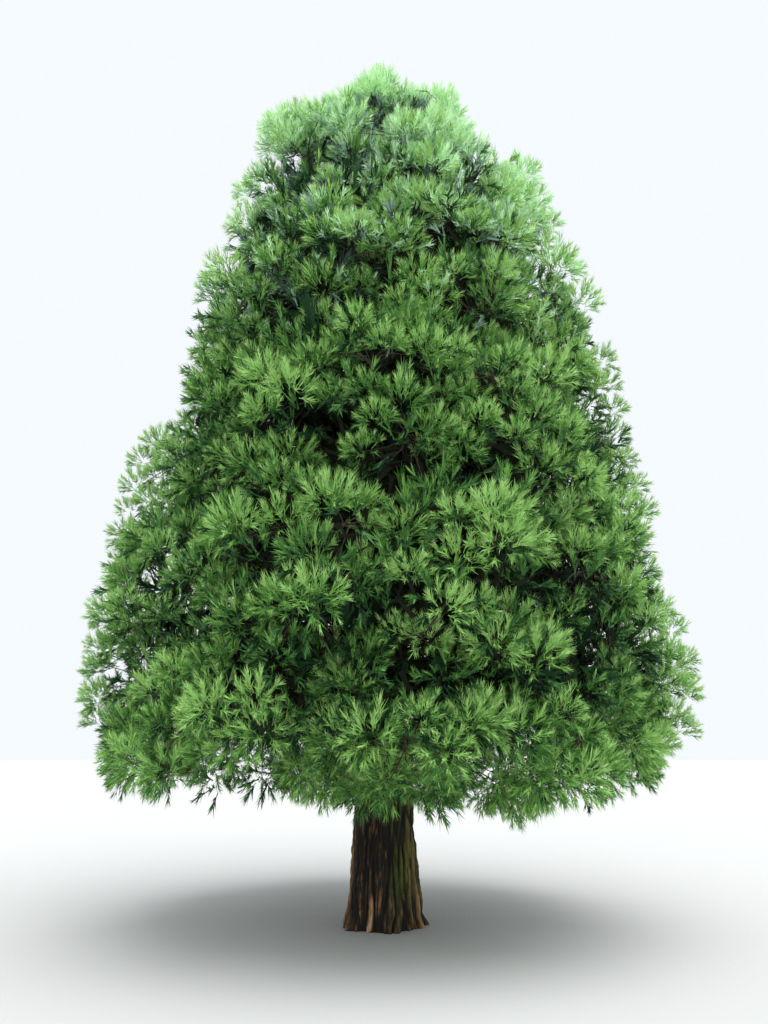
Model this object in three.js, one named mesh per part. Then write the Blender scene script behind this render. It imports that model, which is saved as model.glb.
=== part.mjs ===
// A young, open-grown giant sequoia: one straight tapering trunk, side boughs that leave it all round,
// and the foliage masses that those boughs carry. The middle of the crown is bare, as in a real tree.
// Lengths are millimetres, +Z is up, and the origin is the middle of the flat cut at the trunk's foot.
// Bearings are degrees round the trunk: 0 faces -Y, the side seen in the photograph, and 90 faces +X.
import * as THREE from 'three';

// Gap left between solids that meet.
const CUT_GAP = 0.3;

// Trunk: an even taper with a root flare, whole from the ground to the leader's tip.
const TRUNK_HEIGHT = 9300;
const TRUNK_STEM_RADIUS = 297;
const TRUNK_TIP_RADIUS = 7;
const TRUNK_TAPER_POWER = 0.92;
const TRUNK_FLARE = 70;
const TRUNK_FLARE_HEIGHT = 260;
const TRUNK_TIP_OFFSET = -85;
const TRUNK_SIDES = 18;
const TRUNK_RINGS = [0, 70, 180, 340, 600, 1000, 1600, 2400, 3300, 4200, 5100, 6000, 6900, 7700, 8400, 8950];
const TRUNK_RIDGE_DEPTH = 0.022;
const BUTTRESS_DEPTH = 0.085;
const BUTTRESS_COUNT = 5;
const BUTTRESS_HEIGHT = 420;
const BUTTRESS_TURN = 0.7;

// Boughs: round limbs with a swollen collar at the trunk, sagging a little before they turn up.
const BOUGH_SIDES = 7;
const BOUGH_STEPS = 5;
const BOUGH_COLLAR = 0.45;
const BOUGH_COLLAR_LENGTH = 0.12;
const BOUGH_STAGGER = 120;
const BOUGH_TIP_SHARE = 0.62;
const BOUGH_SAG = 0.06;

// Masses: a squared-off ellipsoid with rounded lobes on its outer face. Overlaps are shares of the room
// between neighbours, which are then parted by a flat cut.
const SPHERE_DETAIL = 2;
const OUTER_CROWDING = 0.32;
const LOBE_SPACING = 780;
const LOBE_FLOOR = 0.72;
const LOBE_HEIGHT = 0.32;
const LOBE_WIDTH = 0.62;
const LOBE_FAN_ACROSS = 1.25;
const LOBE_FAN_UP = 1.1;
const LOBE_LIFT = 0.15;
const LOBE_SCATTER = 0.3;
const LOBE_LEAST = 0.75;
const UNEVENNESS = 0.07;
const SQUARENESS = 2.5;
const OVERLAP_ACROSS = 1.42;
const OVERLAP_UP = 1.28;
const WIDEST_SPAN = 110;

// Colours read from the photograph.
const BARK_COLOUR = 0x5b4132;
const BOUGH_COLOUR = 0x513c30;
const FOLIAGE_COLOURS = [0x4f7a36, 0x456f33, 0x5a8639, 0x3f6634];

// Tiers from the ground up. Height is the middle of the tier, reach the crown's radius there, core the
// radius of the bare middle, droop how far the outer face hangs below the bough's end, and rise how far
// the bough climbs between the trunk and the mass. A core of 0 means the masses close on the trunk.
const TIERS = [
  {
    name: 'skirt', height: 1990, tall: 1460, reach: 2800, core: 1480, droop: 270, rise: -60, underside: 1.05,
    boughRadius: 52, bearings: [-34, 3, 38, 82, 128, 176, 226, 281],
    lifts: [30, -90, 0, 40, -40, 30, -20, 10], reaches: [0, -60, -10, -30, -60, 0, -40, -10],
  },
  {
    name: 'lower', height: 3090, tall: 1460, reach: 2790, core: 1380, droop: 130, rise: 120, underside: 1.4,
    boughRadius: 56, bearings: [-20, 14, 56, 108, 160, 213, 285],
    lifts: [10, -70, -90, 40, -30, 50, -60], reaches: [20, 0, 10, -50, 0, -40, -60],
  },
  {
    name: 'middle', height: 4290, tall: 1600, reach: 2560, core: 1130, droop: 30, rise: 330, underside: 1.4,
    boughRadius: 50, bearings: [-36, 1, 34, 96, 160, 236],
    lifts: [60, 70, -110, 60, -40, 20], reaches: [-110, 20, 20, -20, -40, -160],
  },
  {
    name: 'upper', height: 5640, tall: 1740, reach: 2220, core: 790, droop: -90, rise: 560, underside: 1.4,
    boughRadius: 42, bearings: [-29, 20, 88, 158, 250],
    lifts: [-60, 60, -60, 40, -20], reaches: [-20, 0, 10, -30, -110],
  },
  {
    name: 'high', height: 6940, tall: 1620, reach: 1600, core: 0, droop: -120, rise: 0, underside: 1.3,
    boughRadius: 0, bearings: [-52, 28, 118, 208],
    lifts: [110, -40, 20, -60], reaches: [60, 0, 0, -20],
  },
  {
    name: 'top', height: 8200, tall: 1180, reach: 840, core: 0, droop: -100, rise: 0, underside: 1.3,
    boughRadius: 0, bearings: [0, 118, 240],
    lifts: [60, -60, 0], reaches: [-20, -40, 0],
  },
];

function outward(bearing) {
  const angle = THREE.MathUtils.degToRad(bearing);
  return new THREE.Vector3(Math.sin(angle), -Math.cos(angle), 0);
}

function sideways(bearing) {
  const angle = THREE.MathUtils.degToRad(bearing);
  return new THREE.Vector3(Math.cos(angle), Math.sin(angle), 0);
}

// Repeatable numbers between 0 and 1.
function seededRandom(seed) {
  let state = (seed * 2654435761) >>> 0;
  return () => {
    state = (Math.imul(state ^ (state >>> 15), 2246822519) + 3266489917) >>> 0;
    const mixed = Math.imul(state ^ (state >>> 13), 3266489917) >>> 0;
    return ((mixed ^ (mixed >>> 16)) >>> 0) / 4294967296;
  };
}

function solidMesh(name, positions, faces, colour, roughness) {
  const geometry = new THREE.BufferGeometry();
  geometry.setAttribute('position', new THREE.Float32BufferAttribute(positions, 3));
  geometry.setIndex(faces);
  geometry.computeVertexNormals();
  const finish = { color: colour, roughness, metalness: 0, flatShading: true };
  const material = new THREE.MeshStandardMaterial(finish);
  const mesh = new THREE.Mesh(geometry, material);
  mesh.name = name;
  return mesh;
}

// Joins rings of equal count into a closed tube. Each end is closed by a fan round a middle point.
function tubeFromRings(rings, startMiddle, endMiddle) {
  const sides = rings[0].length;
  const positions = [];
  const faces = [];
  rings.forEach((ring) => ring.forEach((point) => positions.push(point.x, point.y, point.z)));
  const startIndex = rings.length * sides;
  const endIndex = startIndex + 1;
  positions.push(startMiddle.x, startMiddle.y, startMiddle.z);
  positions.push(endMiddle.x, endMiddle.y, endMiddle.z);
  const lastRing = (rings.length - 1) * sides;
  for (let side = 0; side < sides; side += 1) {
    const next = (side + 1) % sides;
    for (let ring = 0; ring + 1 < rings.length; ring += 1) {
      const low = ring * sides;
      const high = low + sides;
      faces.push(low + side, low + next, high + next);
      faces.push(low + side, high + next, high + side);
    }
    faces.push(startIndex, next, side);
    faces.push(endIndex, lastRing + side, lastRing + next);
  }
  return { positions, faces };
}

// Middle of the trunk at a height: it stands upright at the foot and leans a little towards the tip.
function trunkMiddle(height) {
  const share = height / TRUNK_HEIGHT;
  return new THREE.Vector3(TRUNK_TIP_OFFSET * share * share, 0, height);
}

function trunkRadius(height) {
  const share = Math.min(1, height / TRUNK_HEIGHT);
  const taper = Math.pow(1 - share, TRUNK_TAPER_POWER);
  const flare = TRUNK_FLARE * Math.exp(-height / TRUNK_FLARE_HEIGHT);
  return TRUNK_TIP_RADIUS + (TRUNK_STEM_RADIUS - TRUNK_TIP_RADIUS) * taper + flare;
}

// Share by which buttresses and ridges push the bark out at an angle round the trunk.
function trunkSwell(height, angle) {
  const foot = Math.exp(-height / BUTTRESS_HEIGHT);
  const buttress = Math.cos(BUTTRESS_COUNT * angle + BUTTRESS_TURN) + 0.4 * Math.cos(2 * angle - 1);
  const ridge = Math.cos(8 * angle + height / 900);
  return BUTTRESS_DEPTH * foot * buttress + TRUNK_RIDGE_DEPTH * ridge;
}

// Largest radius that the trunk has at a height, used to stop boughs and masses just clear of it.
function trunkClearRadius(height) {
  const foot = Math.exp(-height / BUTTRESS_HEIGHT);
  return trunkRadius(height) * (1 + 1.4 * BUTTRESS_DEPTH * foot + TRUNK_RIDGE_DEPTH) + CUT_GAP;
}

function makeTrunk() {
  const rings = TRUNK_RINGS.map((height) => {
    const middle = trunkMiddle(height);
    const ring = [];
    for (let side = 0; side < TRUNK_SIDES; side += 1) {
      const angle = (2 * Math.PI * side) / TRUNK_SIDES;
      const radius = trunkRadius(height) * (1 + trunkSwell(height, angle));
      const offset = new THREE.Vector3(radius * Math.cos(angle), radius * Math.sin(angle), 0);
      ring.push(middle.clone().add(offset));
    }
    return ring;
  });
  const tube = tubeFromRings(rings, trunkMiddle(0), trunkMiddle(TRUNK_HEIGHT));
  return solidMesh('trunk', tube.positions, tube.faces, BARK_COLOUR, 0.95);
}

// Works out where each mass of a tier stands and how large it is.
function tierMasses(tier, tierIndex) {
  const count = tier.bearings.length;
  return tier.bearings.map((bearing, index) => {
    const before = tier.bearings[(index + count - 1) % count];
    const after = tier.bearings[(index + 1) % count];
    const span = Math.min(WIDEST_SPAN, THREE.MathUtils.euclideanModulo(after - before, 360) / 2);
    const reach = tier.reach + tier.reaches[index];
    const height = tier.height + tier.lifts[index];
    const core = tier.core > 0 ? tier.core : trunkCoreAlong(bearing, height - tier.tall / 2);
    const deep = (reach - core) / 2;
    const middleRadius = core + deep;
    const across = 2 * middleRadius * Math.tan(THREE.MathUtils.degToRad(span / 2));
    return {
      name: `${tier.name}_mass_${index + 1}`,
      boughName: `${tier.name}_bough_${index + 1}`,
      tier,
      bearing,
      core,
      deep,
      across,
      rootHeight: tier.height - tier.rise + (index % 2 === 0 ? BOUGH_STAGGER : -BOUGH_STAGGER),
      tall: tier.tall,
      droop: tier.droop,
      middle: outward(bearing).multiplyScalar(middleRadius).setZ(height),
      seed: 100 * (tierIndex + 1) + index,
      colour: FOLIAGE_COLOURS[(tierIndex + index) % FOLIAGE_COLOURS.length],
    };
  });
}

// Distance from the origin, along a bearing, at which a mass clears the leaning trunk above a height.
function trunkCoreAlong(bearing, low) {
  const leanTowards = Math.max(0, TRUNK_TIP_OFFSET * outward(bearing).x);
  return leanTowards + trunkClearRadius(low);
}

function massLobes(mass) {
  const random = seededRandom(mass.seed);
  const columns = Math.max(2, Math.round(mass.across / LOBE_SPACING));
  const rows = Math.max(2, Math.round(mass.tall / LOBE_SPACING));
  const out = outward(mass.bearing);
  const side = sideways(mass.bearing);
  const lobes = [];
  for (let row = 0; row < rows; row += 1) {
    for (let column = 0; column < columns; column += 1) {
      const stagger = row % 2 === 0 ? 0 : 0.5;
      const scatter = () => LOBE_SCATTER * (random() - 0.5);
      const acrossShare = ((column + 0.5 + stagger) / (columns + 0.5)) * 2 - 1 + scatter();
      const upShare = ((row + 0.5) / rows) * 2 - 1 + scatter();
      const direction = out.clone().addScaledVector(side, LOBE_FAN_ACROSS * acrossShare);
      direction.z = LOBE_FAN_UP * upShare + LOBE_LIFT;
      lobes.push({ direction: direction.normalize(), size: LOBE_LEAST + (1 - LOBE_LEAST) * random() });
    }
  }
  return lobes;
}

// Planes that keep a mass clear of its neighbours and of the bare middle of the crown.
function partingPlanes(mass, masses) {
  const out = outward(mass.bearing);
  const planes = [{ normal: out.clone().negate(), distance: mass.deep - CUT_GAP / 2 }];
  masses.forEach((other) => {
    if (other === mass) {
      return;
    }
    const towards = other.middle.clone().sub(mass.middle);
    const length = towards.length();
    towards.normalize();
    const own = ellipsoidRadius(mass, towards);
    const theirs = ellipsoidRadius(other, towards.clone().negate());
    planes.push({ normal: towards, distance: (length * own) / (own + theirs) - CUT_GAP / 2 });
  });
  return planes;
}

function ellipsoidRadius(mass, direction) {
  const out = Math.abs(direction.dot(outward(mass.bearing))) / mass.deep;
  const side = Math.abs(direction.dot(sideways(mass.bearing))) / ((mass.across / 2) * OVERLAP_ACROSS);
  const up = Math.abs(direction.z) / ((mass.tall / 2) * (direction.z > 0 ? OVERLAP_UP : mass.tier.underside));
  const sum = out ** SQUARENESS + side ** SQUARENESS + up ** SQUARENESS;
  return sum ** (-1 / SQUARENESS);
}

function lobeFactor(lobes, direction) {
  let best = 0;
  lobes.forEach((lobe) => {
    const angle = direction.angleTo(lobe.direction) / LOBE_WIDTH;
    if (angle < 1) {
      best = Math.max(best, lobe.size * Math.sqrt(1 - angle * angle));
    }
  });
  return LOBE_FLOOR + LOBE_HEIGHT * best;
}

function makeMass(mass, masses) {
  const sphere = new THREE.IcosahedronGeometry(1, SPHERE_DETAIL);
  const source = sphere.getAttribute('position');
  const lobes = massLobes(mass);
  const planes = partingPlanes(mass, masses);
  const random = seededRandom(mass.seed + 7);
  const out = outward(mass.bearing);
  const positions = [];
  const faces = [];
  const known = new Map();
  for (let corner = 0; corner < source.count; corner += 1) {
    const direction = new THREE.Vector3().fromBufferAttribute(source, corner);
    const key = [direction.x, direction.y, direction.z].map((value) => Math.round(value * 1e4)).join(' ');
    if (!known.has(key)) {
      known.set(key, positions.length / 3);
      const aim = direction.clone().addScaledVector(out, OUTER_CROWDING).normalize();
      const uneven = 1 + UNEVENNESS * (2 * random() - 1);
      const offset = aim.clone().multiplyScalar(ellipsoidRadius(mass, aim) * lobeFactor(lobes, aim) * uneven);
      offset.z -= (mass.droop * offset.dot(out)) / mass.deep;
      let share = 1;
      planes.forEach((plane) => {
        const along = offset.dot(plane.normal);
        if (along > plane.distance) {
          share = Math.min(share, plane.distance / along);
        }
      });
      const point = mass.middle.clone().addScaledVector(offset, share);
      positions.push(point.x, point.y, point.z);
    }
    faces.push(known.get(key));
  }
  return solidMesh(mass.name, positions, faces, mass.colour, 0.9);
}

// Bough from the trunk's side to the flat inner face of its mass.
function makeBough(mass) {
  const out = outward(mass.bearing);
  const side = sideways(mass.bearing);
  const endRadius = mass.tier.boughRadius * BOUGH_TIP_SHARE;
  const clear = trunkClearRadius(mass.rootHeight - 2 * mass.tier.boughRadius);
  const rootMiddle = trunkMiddle(mass.rootHeight).addScaledVector(out, clear);
  const endMiddle = out.clone().multiplyScalar(mass.core - CUT_GAP).setZ(mass.middle.z);
  const sag = BOUGH_SAG * (mass.core - clear);
  const climb = Math.hypot(1, (mass.middle.z - mass.rootHeight) / (mass.core - clear));
  const rings = [];
  for (let step = 0; step <= BOUGH_STEPS; step += 1) {
    const share = step / BOUGH_STEPS;
    const middle = rootMiddle.clone().lerp(endMiddle, share);
    middle.z -= sag * Math.sin(Math.PI * share);
    const collar = 1 + BOUGH_COLLAR * Math.exp(-share / BOUGH_COLLAR_LENGTH);
    const radius = THREE.MathUtils.lerp(mass.tier.boughRadius, endRadius, share) * collar;
    const ring = [];
    for (let corner = 0; corner < BOUGH_SIDES; corner += 1) {
      const angle = (2 * Math.PI * corner) / BOUGH_SIDES;
      const point = middle.clone().addScaledVector(side, radius * Math.cos(angle));
      point.z += radius * climb * Math.sin(angle);
      ring.push(point);
    }
    rings.push(ring);
  }
  const tube = tubeFromRings(rings, rootMiddle, endMiddle);
  return solidMesh(mass.boughName, tube.positions, tube.faces, BOUGH_COLOUR, 0.95);
}

function makeTree() {
  const tree = new THREE.Group();
  tree.name = 'giant_sequoia';
  tree.add(makeTrunk());
  const masses = TIERS.flatMap(tierMasses);
  masses.forEach((mass) => {
    if (mass.tier.boughRadius > 0) {
      tree.add(makeBough(mass));
    }
    tree.add(makeMass(mass, masses));
  });
  return tree;
}

export default makeTree();
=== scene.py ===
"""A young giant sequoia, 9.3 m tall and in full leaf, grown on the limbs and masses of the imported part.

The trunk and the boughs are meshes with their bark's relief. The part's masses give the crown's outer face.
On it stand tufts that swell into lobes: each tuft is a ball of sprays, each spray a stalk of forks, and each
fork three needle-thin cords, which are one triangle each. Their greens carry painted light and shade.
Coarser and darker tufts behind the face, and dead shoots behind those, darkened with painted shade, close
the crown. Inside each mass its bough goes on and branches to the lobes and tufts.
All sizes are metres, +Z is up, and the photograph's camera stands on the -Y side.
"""

import math

from types import SimpleNamespace

import bmesh
import bpy
import numpy as np
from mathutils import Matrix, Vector
from mathutils.bvhtree import BVHTree


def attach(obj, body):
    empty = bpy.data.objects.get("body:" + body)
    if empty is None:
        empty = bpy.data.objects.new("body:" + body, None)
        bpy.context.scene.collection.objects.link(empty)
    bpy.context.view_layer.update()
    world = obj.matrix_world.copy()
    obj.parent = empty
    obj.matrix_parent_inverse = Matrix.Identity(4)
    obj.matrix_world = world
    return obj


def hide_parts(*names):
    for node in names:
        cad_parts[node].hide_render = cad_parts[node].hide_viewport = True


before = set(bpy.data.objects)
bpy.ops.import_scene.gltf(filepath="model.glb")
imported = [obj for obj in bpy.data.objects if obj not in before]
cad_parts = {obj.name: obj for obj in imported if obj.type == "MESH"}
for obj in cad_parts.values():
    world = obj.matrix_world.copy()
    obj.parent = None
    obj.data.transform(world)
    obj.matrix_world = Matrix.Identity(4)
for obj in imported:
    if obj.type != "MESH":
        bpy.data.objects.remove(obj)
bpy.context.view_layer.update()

SEED = 4127
TEMPLATE_SEED = SEED + 50
UP = np.array([0.0, 0.0, 1.0])
GOLDEN_ANGLE = math.pi * (3 - math.sqrt(5))
TIERS = ["skirt", "lower", "middle", "upper", "high", "top"]
TIERS_WITH_BOUGHS = TIERS[:4]
NOISE_CELLS_ALONG = 512

# A table whose name ends in BY_HEIGHT holds heights, and then the values there.

# The photograph's camera: image sizes in pixels, places in metres, angles in degrees.
IMAGE_LONG_SIDE_PX = 1024
IMAGE_MIDDLE_PX = (384, 512)
FOCAL_PX = 850
SENSOR_MM = 36.0
CAMERA_DISTANCE = 8.3
CAMERA_HEIGHT = 1.6
CAMERA_PITCH = 15.0

# Trunk mesh. Rings are close together low down, where the bark is seen.
TRUNK_SIDES = 240
TRUNK_FINE_STEP = 0.015
TRUNK_FINE_TOP = 1.5
TRUNK_COARSE_STEP = 0.20
TRUNK_TIP_RADIUS = 0.002
SECTION_ANGLES = 72

# Bark plates, and the splits and flakes on them, are cells. Each kind has its number of cells round and
# along one plate, how far the warp pushes them round and along, and a seed.
PLATE_WIDTH = 0.072
PLATE_STRETCH = 12.0
PLATES_AT_RADIUS = 0.30
FURROW_WIDTH = 0.45
BARK_CELLS = {
    "ridge": (1, 1.0, 1.0, 0.35, 12),
    "split": (2, 2.4, 1.7, 0.0, 13),
    "flake": (4, 9.0, 2.6, 0.0, 17),
}

# Noise that warps the plates: strength, plates to one cell round, cells along one plate, and a seed.
BARK_WARP = ((0.60, 2, 1.8, 11), (0.25, 1, 5.0, 18))

# Noise for fibres and for worn patches: strength, cells round the trunk, cells along one metre, and a seed.
FIBRES = ((1.0, 120, 5.0, 14), (0.7, 230, 9.0, 15))
WORN_PATCHES = (1.0, 13, 1.7, 16)

# Bark depths in metres, and as shares of a furrow's for splits, flakes and the level at which the part's
# surface lies. Furrows fade up the trunk and on thin wood, and the toes stand out near the ground.
FURROW_DEPTH = 0.038
FIBRE_DEPTH = 0.0060
SPLIT_SHARE = 0.35
FLAKE_SHARE = 0.16
LEVEL_SHARE = 0.3
TOP_DEPTH_SHARE = 0.35
FURROWS_FADE_OVER = 1.5
THIN_WOOD_RADIUS = 0.2
THIN_WOOD_SHARE = 0.05
TOE_RELIEF = 0.013
TOE_HEIGHT = 0.22

# Bark lightness from 0 to 1: in furrows, kept low as painted shade, and what ridges, worn patches, fibres
# and the toes add.
FURROW_LIGHT = 0.04
RIDGE_LIGHT = 0.46
WORN_LIGHT = 0.30
FIBRE_LIGHT = 0.12
TOE_LIGHT = 0.20
TOE_LIGHT_HEIGHT = 0.28

# Moss on the trunk. Its bearing is in radians. Its side and its foot each hold where it starts and over how
# much it thickens, the side in cosines from the bearing and the foot in metres. Its fade is by height.
MOSS_STRENGTH = 1.7
MOSS_BEARING = -0.78
MOSS_SIDE = (0.72, 0.24)
MOSS_FOOT = (0.08, 0.45)
MOSS_FOOT_SHARE = 0.35
MOSS_FADE = (1.6, 0.7)

# Boughs. Lightness is a middle value and how far lumps change it, darker in the dips between lumps as
# painted shade. Points further apart than RING_GAP along a bough belong to different rings.
BOUGH_SIDES = 18
BOUGH_RINGS = 34
BOUGH_RELIEF = 0.09
BOUGH_LUMPS = 9
BOUGH_SEED = 40
BOUGH_LIGHT = (0.42, 0.3)
RING_GAP = 0.02

# Random points on the masses. Those that face inwards by more than the limit are left out.
CANDIDATES_PER_SQUARE_METRE = 45
FACE_LIMIT = -0.35

# Lobes of the crown's face. Heights are stretched in their spacing. Each swells by chance, less so near the
# top. Valleys lie between them, and their undersides are drawn in and thinned out.
LOBE_SPACING = 0.88
LOBE_STRETCH = 1.5
LOBE_DEPTH = 0.50
LOBE_SWELL = 0.045
LOBE_SWELL_BY_HEIGHT = ((7.0, 8.5), (1.0, 0.3))
VALLEY_DEPTH = 0.24
VALLEY_REACH = 0.52
UNDERCUT = 0.12
UNDERCUT_REACH = 0.35
THINNED_BELOW = 0.45

# Shares in a lobe's axis: the face's normal, the way out and the lift of growth.
LOBE_AXIS = (0.8, 0.5, 0.6)

# Shares in a tuft's axis: the face's normal, the open way, the way from the lobe's centre, lift and chance.
TUFT_AXIS = (0.35, 0.40, 0.7, 0.8, 0.10)

# Tufts on the face. They are placed in the order of how open their places are, mixed by chance. One that has
# few neighbours within reach is a stray and is dropped.
TUFT_SPACING = 0.262
TUFT_SPACING_BY_HEIGHT = ((6.6, 8.6), (1.0, 0.78))
TUFT_RADIUS = 0.190
TUFT_RADIUS_BY_HEIGHT = ((6.6, 8.8), (1.0, 0.80))
TUFT_SIZES = (0.82, 1.28)
TUFT_INSET = 0.45
TUFT_FLATNESS = 0.22
TUFT_DEPTH_SPREAD = 0.02
ORDER_BY_CHANCE = 0.5
STRAY_REACH = 0.38
STRAY_NEIGHBOURS = 2

# Tufts that hang along the crown's lower edge: reach and height of each ring of them.
FRINGE_RINGS = ((2.36, 1.50), (1.75, 1.46))
FRINGE_STEP = 0.30
FRINGE_GAP = 0.24
FRINGE_UNEVENNESS = 0.2
FRINGE_SPREAD = 0.05
FRINGE_DROOP = 0.35
FRINGE_SIZES = (0.95, 1.2)
# Fringe tufts are a little darker: painted shade low under the crown's edge.
FRINGE_TONES = (-0.10, 0.0)

# How strongly shoots turn up: hardly at the skirt's edge, and most at the top.
GROWTH_LIFT_BY_HEIGHT = ((1.2, 2.0, 5.0, 8.0, 9.2), (0.20, 0.75, 1.0, 1.3, 1.8))
OPEN_WAY_LIFT = 0.6

# Rays that tell how open a place on the crown's face is: their lean up or down and to the sides, in degrees.
EXPOSURE_LEANS = ((0, 0), (35, 0), (-30, 0), (0, 40), (0, -40), (25, 70), (25, -70), (70, 0), (-60, 0))
EXPOSURE_START = 0.03
EXPOSURE_REACH = 1.6
LEAST_EXPOSURE = 0.1

# Holes in the sides and the back of the crown are looked for along level lines to the trunk, all round it.
# The widest gap that may stay is told by height. Lines whose way out has less Y than CAMERA_SIDE lead to the
# camera, and are left as the photograph shows them.
HOLE_TURN_STEP = math.radians(5)
HOLE_HEIGHTS = (1.35, 8.2, 0.15)
HOLE_GAPS_BY_HEIGHT = ((1.5, 2.2, 3.0), (0.22, 0.25, 0.31))
HOLE_NEIGHBOURS = 6
HOLE_SPACING = 0.23
HOLE_SIZES = (0.9, 1.2)
# Tufts that fill holes are darker: painted shade.
HOLE_TONES = (-0.15, -0.05)
CAMERA_SIDE = -0.35

# Sprays: how many a tuft has, the reach of their foot and length in tuft radii, how far they lean together
# low and high in the crown and between which heights that changes, and the widest lean of a root in degrees.
SPRAYS_PER_TUFT = 24
SPRAY_FOOT = 0.45
SPRAY_REACH = 0.74
SPRAY_SIZES = (0.86, 1.12)
SPRAY_GATHER = (0.70, 0.56)
SPRAY_GATHER_HEIGHTS = (5.5, 8.5)
HIGH_SPRAYS_LONGER = 0.35
SPRAY_CAP = 104.0
SPRAY_TEMPLATES = 24
SPRAY_BEND = 2.2
LEAST_BEND = 0.1
LEAN_SPREAD = 0.10
TURN_SPREAD = 0.15
GATHERED_TURN_SPREAD = 0.2
SPRAY_TONE_SPREAD = 0.05
FRESH_FORKS = 8
FRESH_CORD_WIDTH = 0.0080

# One spray of unit length: how its stalk sways, reaches and narrows, where its forks stand, their length and
# the furthest they reach, and their angle to the stalk in degrees, which is less towards the tip.
STALK_SWAY = 0.12
STALK_REACH = 0.85
STALK_WIDTH = 0.4
FORK_FROM = 0.16
FORK_SPAN = 0.62
FORK_LENGTH = 0.60
FORK_REACH = 1.15
FORK_ANGLE = 34
FORK_ANGLE_LOSS = 20
FORK_ANGLE_SPREAD = 6

# The two side cords of a fork: their angle to it in degrees, and their place and length as shares of it.
SIDE_ANGLES = (16, 29)
SIDE_PLACES = (0.12, 0.35)
SIDE_LENGTHS = (0.55, 0.75)

# Older, darker and coarser tufts behind the face, dark for their age and with painted shade, and dead shoots
# behind those, near-black with painted shade, close the crown to the sky.
# Old tufts are smaller where only a few fresh ones cover them: numbers of those, and shares of the radius.
# One that has no more of them near than the first number is dropped, unless it is low in the crown.
OLD_TUFT_SPACING = 0.345
OLD_TUFT_DEPTH = 0.38
OLD_TUFT_SPREAD = 0.08
OLD_TUFT_RADIUS = 0.27
OLD_TUFT_RADIUS_BY_HEIGHT = ((1.5, 2.2, 6.5, 8.4), (0.7, 1.0, 1.0, 0.6))
OLD_TUFT_COVER = 0.50
OLD_TUFT_SHRINKS = ((2, 6), (0.72, 1.0))
OLD_TUFTS_STAY_BELOW = 2.0
OLD_SPRAYS_PER_TUFT = 9
OLD_FORKS = 6
OLD_CORD_WIDTH = 0.0185
DEAD_SHOOTS_PER_SQUARE_METRE = 180
DEAD_SHOOT_LIMIT = -0.25
DEAD_SHOOT_DEPTHS = (0.46, 1.45)
DEAD_SHOOT_LENGTH = 0.24
DEAD_SHOOT_SIZES = (0.7, 1.3)
DEAD_SHOOT_WIDTH = 0.050
DEAD_SHOOT_LOWEST = 1.85

# Old tufts that hang under the crown, between the trunk and the skirt: their reach, their height and share
# of an old tuft's radius at its two ends, and how far below and above that height they may be.
UNDER_TUFTS = 240
UNDER_REACH = (0.45, 2.38)
UNDER_HEIGHT = (1.90, 1.64)
UNDER_SHRINKS = (1.0, 0.66)
UNDER_RISES = (-0.1, 0.35)
UNDER_SPREAD = 0.04
UNDER_DROOP = 0.6

# Dead and nearly bare foliage round the trunk, painted near-black as shade: its reach at heights up the
# trunk, and the spread of that.
CORE_TUFTS = 330
CORE_HEIGHTS = (1.9, 3.0, 5.0, 7.0, 8.4)
CORE_REACHES = (1.25, 1.25, 1.0, 0.62, 0.25)
CORE_SPREAD = (0.80, 1.75)
CORE_LEVEL_SPREAD = 0.08
CORE_LEAN = 3.3
CORE_TUFT_RADIUS = 0.40
CORE_TUFT_RADIUS_BY_HEIGHT = ((6.0, 8.4), (1.0, 0.5))
CORE_SPRAYS_PER_TUFT = 8
CORE_CORD_WIDTH = 0.030

# Short steep sprays up the leader, shorter towards its tip. Leans are degrees at its foot and at its tip.
LEADER_SPRAYS = 34
LEADER_HEIGHTS = (8.45, 8.95, 9.22)
LEADER_LENGTHS = (0.34, 0.20, 0.08)
LEADER_SIZES = (0.8, 1.2)
LEADER_LEANS = (64, 16)
LEADER_BEND = 0.8
LEADER_TONE = 0.28

# Places read in the photograph, in pixels. Gaps are ellipses: middle across and down, half width and height.
DARK_GAPS = (
    (402, 434, 24, 18), (312, 416, 22, 12), (276, 472, 20, 11), (536, 488, 28, 15), (556, 684, 44, 19),
    (452, 684, 36, 15), (400, 684, 16, 10), (340, 644, 22, 15), (215, 638, 38, 16), (598, 642, 25, 25),
    (484, 752, 24, 12), (588, 752, 24, 12), (440, 240, 26, 14), (364, 252, 16, 10), (316, 254, 18, 11),
    (288, 292, 22, 11), (370, 358, 22, 9), (320, 708, 18, 11), (520, 620, 15, 9), (408, 616, 15, 9),
    (152, 712, 20, 10), (128, 660, 14, 9))

# Tufts round a dark gap, out to this many times its size, are darker by this tone: painted shade.
DARK_RIM = 1.8
DARK_RIM_PAINTED_SHADE = -0.16

# Gaps that show the sky, given the same way.
SKY_GAPS = (
    (244, 158, 30, 16), (276, 170, 28, 15), (306, 170, 20, 13), (330, 168, 10, 9), (172, 408, 38, 14),
    (146, 384, 24, 26), (500, 128, 34, 34), (312, 90, 10, 10), (395, 64, 75, 26), (78, 778, 30, 24),
    (692, 768, 30, 28), (682, 545, 22, 24), (664, 470, 16, 26), (230, 192, 18, 24), (190, 396, 16, 20))

# Tops of lobes, across and down. A place on the crown that faces away, or is behind LOBE_FRONT in Y, counts
# as HIDDEN_GAP pixels further off, and each metre of depth as LOBE_DEPTH_GAP pixels.
LOBES_SEEN = (
    (286, 132), (392, 118), (442, 150), (345, 205), (262, 215), (425, 222), (505, 195), (560, 240),
    (215, 262), (205, 330), (252, 368), (416, 304), (340, 310), (520, 310), (575, 330), (560, 400),
    (320, 476), (216, 498), (428, 496), (506, 510), (600, 470), (150, 460), (168, 532), (358, 550),
    (520, 560), (620, 560), (110, 560), (444, 588), (300, 594), (200, 590), (660, 620), (452, 632),
    (282, 660), (130, 680), (620, 715), (518, 714), (392, 724), (200, 724), (300, 730))
LOBE_FRONT = 0.3
HIDDEN_GAP = 1000
LOBE_DEPTH_GAP = 8

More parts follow.
